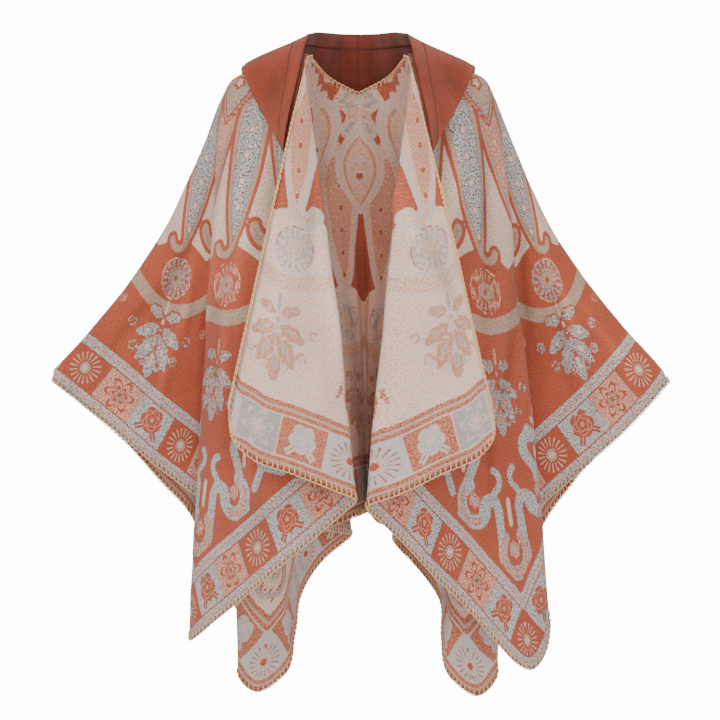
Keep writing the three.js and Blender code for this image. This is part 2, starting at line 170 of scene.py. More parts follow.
BACK = rib_table([
    ("left sleeve tip", -1471, -906, -487, 30, -467, 0, 4, 0, 0, 0),
    ("left sleeve, outer", -1390, -782, -448, 56, -500, 0, 18, 0, 0, 4),
    ("left sleeve trough", -1295, -642, -378, 88, -565, 0, 24, 0, 0, 6),
    ("left sleeve ridge", -1200, -532, -322, 104, -629, 0, 34, 0, 0, 8),
    ("left sleeve, inner", -1105, -456, -270, 124, -691, 0, 44, 0, 0, 8),
    ("left side pleat", -1010, -432, -258, 160, -760, 0, 52, 0, 0, 16),
    ("left side trough", -900, -416, -206, 166, -834, 0, 60, 0, 0, 20),
    ("left side turn", -805, -402, -181, 134, -894, 0, 66, 0, 0, 14),
    ("left corner, side", -734, -388, -193, 112, -951, 0, 72, 0, -4, 16),
    ("left corner", -687, -374, -161, 96, -971, 0, 76, 0, -4, 16),
    ("left corner, hem", -640, -360, -120, 92, -943, 0, 80, 0, -2, 16),
    ("left lobe", -560, -330, -104, 112, -884, 0, 84, 0, 0, 18),
    ("left lobe, upper", -480, -296, -94, 128, -820, 0, 88, 0, 0, 18),
    ("left valley", -405, -256, -58, 150, -762, 0, 90, 0, 0, 18),
    ("left valley turn", -350, -214, -12, 134, -722, -18, 96, -8, 0, 16),
    ("left ridge, outer", -300, -172, -28, 84, -712, -12, 86, -30, 0, 10),
    ("left ridge turn", -245, -128, -48, 42, -703, -6, 68, -50, -6, 3),
    ("left ridge", -185, -86, -26, 31, -691, 0, 46, -66, -8, -1),
    ("left ridge, inner", -120, -50, 2, 60, -682, 0, 34, -80, -4, 0),
    ("centre valley, left", -55, -22, 12, 122, -682, 0, 26, -90, -2, 8),
    ("centre valley", 0, 0, 17, 160, -684, 0, 24, -92, 0, 12),
    ("centre valley, right", 55, 22, 23, 122, -688, 0, 26, -90, 2, 8),
    ("right ridge, inner", 120, 50, 34, 60, -694, 0, 34, -80, 4, 0),
    ("right ridge", 185, 86, 60, 33, -700, 0, 46, -66, 8, -1),
    ("right ridge turn", 245, 128, 78, 46, -708, 6, 68, -50, 6, 3),
    ("right ridge, outer", 300, 172, 58, 86, -722, 12, 86, -30, 0, 10),
    ("right valley turn", 350, 214, 68, 132, -742, 18, 96, -8, 0, 16),
    ("right valley", 405, 256, 102, 148, -780, 0, 90, 0, 0, 18),
    ("right lobe, upper", 480, 296, 136, 128, -832, 0, 88, 0, 0, 18),
    ("right lobe", 560, 330, 137, 112, -894, 0, 84, 0, 0, 18),
    ("right corner, hem", 640, 360, 152, 94, -950, 0, 80, 0, 2, 16),
    ("right corner", 687, 374, 191, 98, -978, 0, 76, 0, 4, 16),
    ("right corner, side", 734, 388, 223, 114, -956, 0, 72, 0, 4, 16),
    ("right side turn", 805, 402, 222, 134, -900, 0, 66, 0, 0, 14),
    ("right side trough", 900, 416, 240, 166, -836, 0, 60, 0, 0, 20),
    ("right side pleat", 1010, 432, 286, 160, -770, 0, 52, 0, 0, 16),
    ("right sleeve, inner", 1105, 456, 302, 124, -702, 0, 44, 0, 0, 8),
    ("right sleeve ridge", 1200, 532, 345, 104, -638, 0, 34, 0, 0, 8),
    ("right sleeve trough", 1295, 642, 393, 88, -576, 0, 24, 0, 0, 6),
    ("right sleeve, outer", 1390, 782, 449, 56, -508, 0, 18, 0, 0, 4),
    ("right sleeve tip", 1471, 906, 496, 30, -468, 0, 4, 0, 0, 0),
])


def along(rows, place):
    """Every column of a table at places along it: a cubic through the rows."""
    at = rows[:, 0]
    span = np.diff(at)
    rise = np.diff(rows, axis=0) / span[:, None]
    slope = np.empty_like(rows)
    slope[0], slope[-1] = rise[0], rise[-1]
    before, after = span[:-1, None], span[1:, None]
    slope[1:-1] = (rise[:-1] * after + rise[1:] * before) / (before + after)
    i = np.clip(np.searchsorted(at, place, "right") - 1, 0, len(at) - 2)
    t = ((place - at[i]) / span[i])[..., None]
    start, end = slope[i] * span[i][..., None], slope[i + 1] * span[i][..., None]
    step = rows[i + 1] - rows[i]
    return rows[i] + start * t + (3 * step - 2 * start - end) * t**2 + (start + end - 2 * step) * t**3


def rounded_corner(centre, radius, first, last):
    """Points round a corner of the flat cloth, from one angle in degrees to another."""
    angles = np.radians(np.linspace(first, last, CORNER_POINTS))
    return np.stack([centre[0] + radius * np.cos(angles), centre[1] + radius * np.sin(angles)], 1)


def run_length(line):
    """How far along a line each of its points lies."""
    return np.concatenate([[0], np.cumsum(np.linalg.norm(np.diff(line, axis=0), axis=1))])


def flat_hem(points, last_place):
    """The flat hem as rows of place, u and v, with places scaled to end where the rib table ends."""
    points = np.array(points, float)
    length = run_length(points)
    return np.column_stack([length * last_place / length[-1], points])


SLEEVE_TIP = (HALF_WIDTH, -20)
OUTER_U = HALF_WIDTH - OUTER_CORNER
FLAT_FRONT_HEM = flat_hem([
    *rounded_corner((SLIT_HALF_GAP + SLIT_CORNER, FRONT_LENGTH - SLIT_CORNER), SLIT_CORNER, 180, 90),
    *rounded_corner((OUTER_U, FRONT_LENGTH - OUTER_CORNER), OUTER_CORNER, 90, 0),
    SLEEVE_TIP,
], FRONT_LEFT[-1, 0])
FLAT_BACK_HEM = flat_hem([
    (0, -BACK_LENGTH),
    *rounded_corner((OUTER_U, OUTER_CORNER - BACK_LENGTH), OUTER_CORNER, -90, 0),
    SLEEVE_TIP,
], BACK[-1, 0])


def blanket_piece(rows, side):
    """The middle surface of a front (side -1 left, 1 right) or of the back (side 0), as a function from
    a place on the hem and a share f of the rib to points in space, and the flat ends of the ribs."""
    lead = 0 if side else NECK_SCOOP
    half_gap = -SEAM_GAP / 2 if side else SEAM_GAP / 2
    outline = FLAT_FRONT_HEM if side else FLAT_BACK_HEM

    def surface(place, f):
        rib = along(rows, place)
        sign = side or np.where(rib[..., 1] < 0, -1, 1)
        line = along(CARRYING_LINE, np.abs(rib[..., 1]) - lead)
        start = line[..., 1:4].copy()
        start[..., 0] *= sign
        start[..., 1] += half_gap
        hem = rib[..., 2:5]
        bow = np.concatenate([rib[..., 8:10], np.zeros_like(rib[..., :1])], -1)
        fall = start + (hem - start) * FALL + bow
        f = f[..., None]
        g = 1 - f
        return g**3 * start + 3 * g**2 * f * (start + rib[..., 5:8]) + 3 * g * f**2 * fall + f**3 * hem

    def flat_ends(place):
        rib = along(rows, place)
        sign = side or np.where(place < 0, -1, 1)
        line = along(CARRYING_LINE, np.abs(rib[..., 1]) - lead)
        hem = [np.interp(np.abs(place), outline[:, 0], outline[:, k]) for k in (1, 2)]
        return (sign * line[..., 4], line[..., 5]), (sign * hem[0], hem[1])

    return surface, flat_ends


def lay_out(surface, flat_ends, place, f):
    """Points in space and on the flat cloth, for places (columns) and shares (rows) of the ribs. Down a
    rib the flat cloth follows its true length."""
    places, shares = np.meshgrid(place, f)
    points = surface(places, shares)
    step = np.linalg.norm(np.diff(points, axis=0), axis=2)
    length = np.concatenate([np.zeros_like(step[:1]), np.cumsum(step, 0)])
    share = length / np.maximum(length[-1], TINY)
    (u0, v0), (u1, v1) = flat_ends(places)
    return points, u0 + (u1 - u0) * share, v0 + (v1 - v0) * share, length


# The pattern is worked out on the flat cloth as distances in millimetres, above zero inside a motif.
# "line" is the rust outline of a motif and "stripe" the speckled yarn of the border.
CENTRE_V = -50                # the middle of the whole blanket's pattern, on the line of the shoulders
CORE, LIGHT_FIELD, GARLANDS = 178, 425, 466       # radii of the pattern's rings about that middle
FIRST_SPOKE, SPOKE = -1.5, 16.5                   # degrees to the first long paisley and on to the next
BORDER = 96
SQUARE_PITCH = 72.6
SCROLL_LENGTH, SCROLL_LIFT = 150, 10
FIRST_SCROLL = 118            # where the scrolls start along the border, past the one in the corner
END_REACH, SIDE_REACH = 425, 290                  # how far they run; beside the slit the ground is plain
COLOURS = ("cream", "taupe", "grey", "pink", "line", "stripe")
NOT_WOVEN, NO_SCROLL = -60.0, -9                  # fields of a colour and of the scrolls where neither shows


def lay(weave, shape, colour):
    """Weaves a shape in one colour over what is there; the ground is the colour that is no other."""
    for name in COLOURS:
        weave[name] = np.maximum(weave[name], shape) if name == colour else np.minimum(weave[name], -shape)


def outlined(weave, shape, *rims):
    """Weaves one shape inside another: pairs of how far in it starts and its colour."""
    for inset, colour in rims:
        lay(weave, shape - inset, colour)


def turned(x, y, centre, degrees):
    """Coordinates about a motif's centre, with its own first axis at an angle."""
    c, s = math.cos(math.radians(degrees)), math.sin(math.radians(degrees))
    dx, dy = x - centre[0], y - centre[1]
    return dx * c + dy * s, dy * c - dx * s


def bar(x, y, start, end, radius):
    """A straight stroke with round ends."""
    way = np.subtract(end, start)
    share = np.clip(((x - start[0]) * way[0] + (y - start[1]) * way[1]) / (way @ way), 0, 1)
    return radius - np.hypot(x - start[0] - share * way[0], y - start[1] - share * way[1])


def hook(x, y, centre, bend, first, last, radius):
    """A stroke bent round a centre from one angle in degrees to another."""
    dx, dy = x - centre[0], y - centre[1]
    middle, half = math.radians((first + last) / 2), math.radians((last - first) / 2)
    angle = np.abs((np.arctan2(dy, dx) - middle + math.pi) % (2 * math.pi) - math.pi)
    stroke = radius - np.abs(np.hypot(dx, dy) - bend)
    ends = [
        radius - np.hypot(dx - bend * math.cos(middle + s * half), dy - bend * math.sin(middle + s * half))
        for s in (-1, 1)
    ]
    return np.where(angle < half, stroke, np.maximum(*ends))


def petals(x, y, radius, count, depth, twist=0.0):
    """A flower with round petals."""
    wave = np.abs(np.cos(count / 2 * (np.arctan2(y, x) + twist)))
    return radius * (1 - depth + depth * wave) - np.hypot(x, y)


def rays(x, y, count, share):
    """Thin rays from a centre, each with a share of the space between two."""
    reach = np.hypot(x, y)
    return (share - np.abs(np.sin(count / 2 * np.arctan2(y, x)))) * reach * 2 / count


def long_paisley(x, y, length, width, curl, tail):
    """A long paisley from its round head at 0, which tapers to a tail that curls aside at the far end."""
    straight = length - abs(curl)
    t = np.clip(x / straight, 0, 1)
    head = np.sqrt(1 - np.clip(1 - t / 0.24, 0, 1) ** 2)
    half = tail + (width - tail) * head * (1 - np.clip((t - 0.24) / 0.76, 0, 1) ** 2.6)
    over = np.where(x < 0, x, np.maximum(x - straight, 0))
    body = np.where(over == 0, half - np.abs(y), tail - np.hypot(over, y))
    way = math.copysign(1, curl)
    bend = abs(curl)
    return np.maximum(body, hook(x, way * y, (straight, bend), bend, -90, 40 + tail * 4, tail * 0.8))


def roundel(weave, x, y, centre_colour):
    """A round flower head with a ring of rays."""
    reach = np.hypot(x, y)
    outlined(weave, 37 - reach, (0, "line"), (3, "cream"), (6, centre_colour))
    lay(weave, np.minimum(np.minimum(rays(x, y, 16, 0.55), reach - 17), 30 - reach), "line")
    lay(weave, np.minimum(petals(x, y, 15, 8, 0.25), 15 - reach), "taupe")
    lay(weave, 4 - reach, "line")


def bouquet(weave, x, y, main, second):
    """A spray of leaves and buds on a stem, spreading along its first axis."""
    lay(weave, bar(x, y, (-46, 0), (20, 0), 3), second)
    for degrees, start, length, width in (
        (0, 12, 74, 17), (30, 6, 66, 14), (-30, 6, 66, 14), (62, -4, 56, 13), (-62, -4, 56, 13),
        (104, -18, 40, 11), (-104, -18, 40, 11),
    ):
        along_leaf, aside = turned(x, y, (start, 0), degrees)
        notch = 3 * np.abs(np.sin(along_leaf / 5))
        leaf = width * (1 - ((along_leaf - length / 2) / (length / 2)) ** 2) - np.abs(aside) - notch
        outlined(weave, leaf, (-2.5, "line"), (0, main), (width * 0.62, second))
    for degrees in (15, -15, 46, -46, 84, -84):
        bud_x, bud_y = turned(x, y, (0, 0), degrees)
        outlined(weave, petals(bud_x - 60, bud_y, 9.5, 5, 0.3), (0, main), (4, "line"), (6, second))


def scroll(weave, run, rise, show):
    """One length of the scrolls above the border, at distances along it and above it."""
    cup = hook(run, rise, (40, 36), 27, 165, 400, 11)
    crook = np.maximum(bar(run, rise, (66, 46), (70, 90), 9), hook(run, rise, (87, 91), 17, 10, 182, 9.5))
    root = bar(run, rise, (66, 40), (54, -4), 8)
    fork = np.maximum(bar(run, rise, (116, 44), (106, 112), 6.5), bar(run, rise, (120, 44), (140, 108), 7.5))
    leaf = np.maximum(bar(run, rise, (118, 42), (150, 12), 8), bar(run, rise, (118, 42), (88, 22), 7.5))
    lobe = petals(run - 42, rise - 40, 13, 6, 0.35)
    tendril = np.maximum(bar(run, rise, (12, 84), (14, 42), 6), hook(run, rise, (24, 92), 15, 60, 190, 6))
    parts = [
        (root, ((0, "stripe"),)), (leaf, ((0, "stripe"),)), (fork, ((0, "stripe"),)),
        (cup, ((0, "stripe"), (7, "pink"))), (crook, ((0, "stripe"),)),
        (tendril, ((0, "stripe"),)),
        (lobe, ((0, "pink"), (6, "stripe"))),
        (bar(run, rise, (122, 82), (124, 112), 4), ((0, "cream"),)),
        (bar(run, rise, (84, 64), (92, 78), 4.5), ((0, "cream"),)),
    ]
    for shape, rims in parts:
        for inset, colour in rims:
            lay(weave, np.minimum(shape - inset, show), colour)


def corner_scroll(weave, p, q):
    """The scroll in an outer corner, from the two distances past the border, even about the diagonal."""
    out, aside = (p + q) / math.sqrt(2), np.abs(p - q) / math.sqrt(2)
    within = np.minimum(p, q) - 8
    for shape, rims in (
        (bar(out, aside, (64, 30), (128, 26), 10), ((0, "stripe"),)),
        (hook(out, aside, (128, 44), 18, -100, 100, 9.5), ((0, "stripe"),)),
        (hook(out, aside, (62, 0), 31, 40, 320, 11), ((0, "stripe"), (6, "pink"))),
        (petals(out - 66, aside, 15, 6, 0.35), ((0, "pink"), (6, "stripe"))),
        (bar(out, aside, (104, 0), (140, 0), 5), ((0, "cream"),)),
    ):
        for inset, colour in rims:
            lay(weave, np.minimum(shape - inset, within), colour)


def jacquard(u, v):
    """The colour fields of the whole blanket at points of the flat cloth."""
    w = np.abs(u)
    h = np.abs(v - CENTRE_V) + CENTRE_V
    from_side = HALF_WIDTH - w
    from_end = np.where(v > CENTRE_V, FRONT_LENGTH - v, BACK_LENGTH + v)
    corner = OUTER_CORNER - np.hypot(OUTER_CORNER - from_side, OUTER_CORNER - from_end)
    in_corner = (from_side < OUTER_CORNER) & (from_end < OUTER_CORNER)
    inward = np.where(in_corner, corner, np.minimum(from_side, from_end))
    on_end = from_end < from_side
    weave = {name: np.full_like(w, NOT_WOVEN) for name in COLOURS}
    radius = np.hypot(w, h - CENTRE_V)
    angle = np.degrees(np.arctan2(h - CENTRE_V, w))
    spokes = np.radians((angle - FIRST_SPOKE) / SPOKE * 180)

    def about(degrees, reach):
        """Coordinates about a motif that points straight out from the middle."""
        direction = math.radians(degrees)
        return turned(w, h - CENTRE_V, (reach * math.cos(direction), reach * math.sin(direction)), degrees)

    # The light field of the medallion, which shows between the paisleys as tall triangles
    scallop = 26 * np.abs(np.cos(spokes))
    lay(weave, np.minimum(LIGHT_FIELD - scallop - radius, radius - CORE - 2), "cream")

    # Garlands that swing from roundel to roundel
    swing = 44 * np.abs(np.sin(spokes / 2)) ** 1.5
    garland = 12 - np.abs(radius - GARLANDS - swing)
    outlined(weave, garland, (-4, "line"), (0, "taupe"))

    # Bouquets between the roundels, pointing outwards
    for degrees, reach, main, second in (
        (-1.5, 516, "pink", "cream"), (15, 542, "grey", "cream"), (31.5, 528, "pink", "grey"),
        (48, 590, "grey", "pink"), (64.5, 530, "pink", "cream"), (83, 574, "grey", "pink"),
    ):
        bouquet(weave, *about(degrees, reach), main, second)

    # Long paisleys round the middle; every other one is longer and ends at a roundel
    for k in range(6):
        degrees = FIRST_SPOKE + SPOKE * k
        near, far, width, curl, tail = (172, 415, 31, -17, 8) if k % 2 else (184, 398, 28, -34, 11)
        x, y = about(degrees, near)
        drop = long_paisley(x, y, far - near, width, curl, tail)
        outlined(weave, drop, (-6, "line"), (0, "taupe"), (8, "pink" if k == 2 else "grey"))
        beads = 5.5 - np.hypot(y, (x % 38) - 19)
        lay(weave, np.minimum(beads, drop - 9), "cream")
        if k % 2:
            roundel(weave, *about(degrees, far + 44), "grey" if k == 1 else "pink")

    # Almonds on the shoulders, and small flowers and leaves in the middle
    tile_x, tile_y = (w + 21) % 42 - 21, (h + 37) % 50 - 25
    middle = CORE - radius
    lay(weave, middle, "taupe")
    lay(weave, np.minimum(6 - np.abs(np.abs(tile_x + 5 * np.sin(h / 8)) - 21), middle), "cream")
    for size, count, colour in ((18, 6, "line"), (15.5, 6, "pink"), (9.5, 6, "taupe"), (5, 5, "line")):
        lay(weave, np.minimum(petals(tile_x, tile_y, size, count, 0.35), middle), colour)
    for degrees, reach in ((0, 140), (33, 150), (66, 140), (90, 208)):
        x, y = about(degrees, reach)
        almond = 34 * (1 - (x / 68) ** 2) - np.abs(y)
        outlined(weave, almond, (-4, "line"), (0, "taupe"), (5, "line"), (8, "grey"), (14, "taupe"))
        outlined(weave, petals(x - 8, y, 12, 5, 0.4), (0, "line"), (4, "cream"))
        lay(weave, petals(x + 20, y, 7, 3, 0.4), "line")

    # Scrolls above the border: all along the ends, and a short way up the sides
    run = np.maximum(from_side, from_end) - BORDER
    rise = np.minimum(from_side, from_end) - BORDER - SCROLL_LIFT
    show = np.minimum(rise + 1, np.where(on_end, END_REACH, SIDE_REACH) - run)
    in_the_corner = run < np.maximum(rise + SCROLL_LIFT, FIRST_SCROLL)
    step, place = np.divmod(run - FIRST_SCROLL, SCROLL_LENGTH)
    scroll(
        weave, np.where(step % 2 == 0, place, SCROLL_LENGTH - place), rise,
        np.where(in_the_corner, NO_SCROLL, show),
    )
    corner_scroll(weave, from_side - BORDER, from_end - BORDER)

    # Where a point lies in the border, for the shader that weaves it
    weave["inward"] = inward
    weave["run"] = np.where(on_end, from_side, from_end) - BORDER / 2
    weave["across"] = np.where(on_end, from_end, from_side) - BORDER / 2
    return weave


# Creases placed one by one on the flat cloth: u, v, angle of the crease in degrees, half length, half
# width and height in millimetres. Those below zero are troughs.
FRONT_CREASES = [
    (120, 150, 70, 90, 11, 2.6), (165, 210, 62, 110, 13, -2.8), (215, 170, 55, 80, 10, 2.2),
    (265, 260, 60, 120, 14, 2.6), (310, 150, 40, 90, 12, -2.6), (350, 230, 48, 100, 13, 2.4),
    (400, 120, 25, 90, 12, 2.4), (440, 60, 12, 110, 13, -2.6), (500, 110, 20, 90, 12, 2.2),
    (560, 40, 5, 90, 11, -2.0), (90, 330, 84, 100, 12, 2.2), (150, 420, 78, 110, 14, -2.4),
    (230, 470, 74, 100, 13, 2.4), (310, 420, 66, 100, 13, -2.4), (380, 360, 58, 100, 13, 2.6),
    (450, 300, 48, 90, 12, -2.2), (520, 240, 36, 90, 12, 2.0), (420, 520, 60, 80, 12, 2.0),
    (60, 480, 88, 80, 11, -1.8), (600, 130, 18, 70, 10, 1.8),
]
BACK_CREASES = [
    (60, -260, -82, 110, 13, 2.6), (120, -200, -74, 100, 12, -2.6), (190, -260, -64, 120, 13, 2.6),
    (250, -160, -50, 100, 12, -2.4), (330, -230, -46, 110, 13, 2.6), (400, -120, -26, 100, 12, 2.4),
    (470, -190, -30, 100, 13, -2.4), (560, -90, -12, 90, 11, 2.0), (30, -460, -88, 110, 13, -2.6),
    (110, -520, -82, 110, 14, 2.4), (210, -480, -74, 110, 13, -2.4), (300, -430, -62, 110, 14, 2.6),
    (390, -380, -52, 100, 13, -2.4), (480, -330, -42, 100, 13, 2.2), (160, -690, -86, 80, 12, 2.0),
    (340, -640, -70, 80, 12, -2.0), (560, -520, -50, 80, 12, 2.0), (15, -180, -88, 60, 9, 1.8),
]
CREASE_HEIGHT = 1.9           # of what the tables say, for cloth as soft as this
RIPPLE = 0.9                  # height of the faint ripples between the creases


def unit(vectors):
    """Vectors at a length of one."""
    return vectors / np.maximum(np.linalg.norm(vectors, axis=-1, keepdims=True), TINY)


def grid_normals(points):
    """The normals of a grid of points."""
    return unit(np.cross(np.gradient(points, axis=1), np.gradient(points, axis=0)))


def creased(points, u, v, creases, sway):
    """Moves a grid of points along its normals by the creases, a little differently on each side, which
    sway tells apart. Puts out the normals and the heights too."""
    height = np.zeros_like(u)
    for cu, cv, degrees, length, width, rise in creases:
        place = (cu * (1 + 0.05 * sway), cv * (1 - 0.06 * sway))
        x, y = turned(np.abs(u), v, place, degrees + 6 * sway)
        wander = y + 7 * np.sin(x / length * 2.2 + cu)
        height += CREASE_HEIGHT * rise * np.exp(-((x / length) ** 2) - (wander / width) ** 2)
    height += RIPPLE * np.sin(u / 31 + 2 * np.sin(v / 67)) * np.sin(v / 43 + 1.5 * np.sin(u / 59))
    normal = grid_normals(points)
    return points + normal * height[..., None], normal, height


def cloth_mesh(name, points, flip, fields, flat):
    """One layer of cloth from a grid of points in millimetres, with fields on its points."""
    rows, columns = points.shape[:2]
    build = bmesh.new()
    bmesh.ops.create_grid(build, x_segments=columns - 1, y_segments=rows - 1, size=1)
    if flip:
        bmesh.ops.reverse_faces(build, faces=build.faces)
    mesh = bpy.data.meshes.new(name)
    build.to_mesh(mesh)
    build.free()
    place = np.empty(len(mesh.vertices) * 3)
    mesh.vertices.foreach_get("co", place)
    place = place.reshape(-1, 3)
    i = np.rint((place[:, 0] + 1) / 2 * (columns - 1)).astype(int)
    j = np.rint((1 - place[:, 1]) / 2 * (rows - 1)).astype(int)
    mesh.vertices.foreach_set("co", (points[j, i] * MM).ravel())
    for field, values in fields.items():
        layer = mesh.attributes.new(field, "FLOAT", "POINT")
        layer.data.foreach_set("value", values[j, i].ravel())
    loops = np.empty(len(mesh.loops), int)
    mesh.loops.foreach_get("vertex_index", loops)
    chart = mesh.uv_layers.new(name="flat")
    uv = np.stack([flat[0][j, i], flat[1][j, i]], 1)[loops] * MM
    chart.data.foreach_set("uv", uv.ravel())
    mesh.polygons.foreach_set("use_smooth", np.ones(len(mesh.polygons), bool))
    mesh.update()
    return in_scene(name, mesh)


def thicken(thing, thickness):
    """Turns a layer into cloth with a second face and rims, whose materials follow the first one."""
    shell = thing.modifiers.new("cloth", "SOLIDIFY")
    shell.thickness = thickness * MM
    shell.offset = 0
    shell.material_offset = 1
    shell.material_offset_rim = 2


# The yarns' colours, and the shader nodes that weave them into the cloth.
def linear(red, green, blue):
    """A colour of 0 to 255 as the shaders take it."""
    shares = [value / 255 for value in (red, green, blue)]
    return (*(s / 12.92 if s <= 0.04045 else ((s + 0.055) / 1.055) ** 2.4 for s in shares), 1)


RUST, DEEP_RUST = linear(180, 88, 62), linear(150, 66, 46)
CREAM, BEIGE = linear(240, 208, 188), linear(232, 196, 174)
TAUPE, DARK_TAUPE = linear(176, 142, 120), linear(108, 82, 72)
WARM_GREY, PALE_GREY = linear(174, 164, 158), linear(196, 191, 188)
PINK, PALE_PINK = linear(208, 142, 114), linear(222, 168, 146)


def add_node(tree, kind, inputs=(), **settings):
    """A shader node with its settings, and its inputs by name or number as values or sockets."""
    node = tree.nodes.new(kind)
    for key, value in settings.items():
        setattr(node, key, value)
    for key, value in dict(inputs).items():
        if isinstance(value, bpy.types.NodeSocket):
            tree.links.new(value, node.inputs[key])
        else:
            node.inputs[key].default_value = value
    return node


def math_node(tree, operation, first, second=0.0, third=0.0):
    """One step of arithmetic on values of the surface."""
    return add_node(tree, "ShaderNodeMath", {0: first, 1: second, 2: third}, operation=operation).outputs[0]


def mix_node(tree, share, first, second, blend="MIX"):
    """The first colour with a share of the second mixed in."""
    inputs = {0: share, 6: first, 7: second}
    return add_node(tree, "ShaderNodeMix", inputs, data_type="RGBA", blend_type=blend).outputs[2]


def ramp_node(tree, value, low, high, kind, start=0.0, end=1.0):
    """How far a value has come from low to high, as a value from start to end."""
    inputs = {"Value": value, "From Min": low, "From Max": high, "To Min": start, "To Max": end}
    return add_node(tree, "ShaderNodeMapRange", inputs, interpolation_type=kind).outputs[0]


def noise_node(tree, place, scale, detail=2.0, roughness=0.5):
    """A grain that changes from place to place."""
    inputs = {"Vector": place, "Scale": scale, "Detail": detail, "Roughness": roughness}
    return add_node(tree, "ShaderNodeTexNoise", inputs).outputs[0]


def field_node(tree, field):
    """A value that the points of a piece carry."""
    return add_node(tree, "ShaderNodeAttribute", attribute_name=field).outputs["Fac"]


def flat_node(tree):
    """Places on the flat cloth, in metres."""
    return add_node(tree, "ShaderNodeUVMap", uv_map="flat").outputs[0]


def new_group(name, **outputs):
    """An empty group of shader nodes, with the kind of each of its outputs."""
    tree = bpy.data.node_groups.new(name, "ShaderNodeTree")
    for output, kind in outputs.items():
        tree.interface.new_socket(output, in_out="OUTPUT", socket_type="NodeSocket" + kind)
    return tree


def finish_group(tree, **outputs):
    """Joins a group's results to its outputs."""
    out = tree.nodes.new("NodeGroupOutput")
    for output, value in outputs.items():
        tree.links.new(value, out.inputs[output])
    return tree


TWILL = 1900                  # waves of the twill, in radians a metre
TWILL_WOBBLE, TWILL_RELIEF = 0.0012, 0.22


def yarn_group():
    """Yarn on the flat cloth: its specks, the height of its fine twill and a slow change of shade."""
    tree = new_group("yarn", specks="Float", height="Float", shade="Float")
    flat = flat_node(tree)
    specks = noise_node(tree, flat, 340, 2, 0.75)
    fine = noise_node(tree, flat, 900, 2, 0.6)
    slow = noise_node(tree, flat, 9, 3, 0.55)
    split = add_node(tree, "ShaderNodeSeparateXYZ", {0: flat})
    diagonal = math_node(tree, "ADD", split.outputs[0], split.outputs[1])
    slant = math_node(tree, "MULTIPLY_ADD", fine, TWILL_WOBBLE, diagonal)
    twill = math_node(tree, "SINE", math_node(tree, "MULTIPLY", slant, TWILL))
    height = math_node(tree, "MULTIPLY_ADD", twill, TWILL_RELIEF, fine)
    return finish_group(tree, specks=specks, height=height, shade=slow)


YARN = yarn_group()
PINK_LINE, RUST_LINE = 9, 18.5                    # how far in from either side of the border its lines run
SQUARE_HALF_HEIGHT, SQUARE_HALF_FIELD = 29.5, 33.2                   # of a square, and of a star's field


def ragged_node(tree, specks, width):
    """How far the specks of the yarn push the edge of a motif in or out, within a width."""
    return math_node(tree, "MULTIPLY_ADD", specks, width, -width / 2)


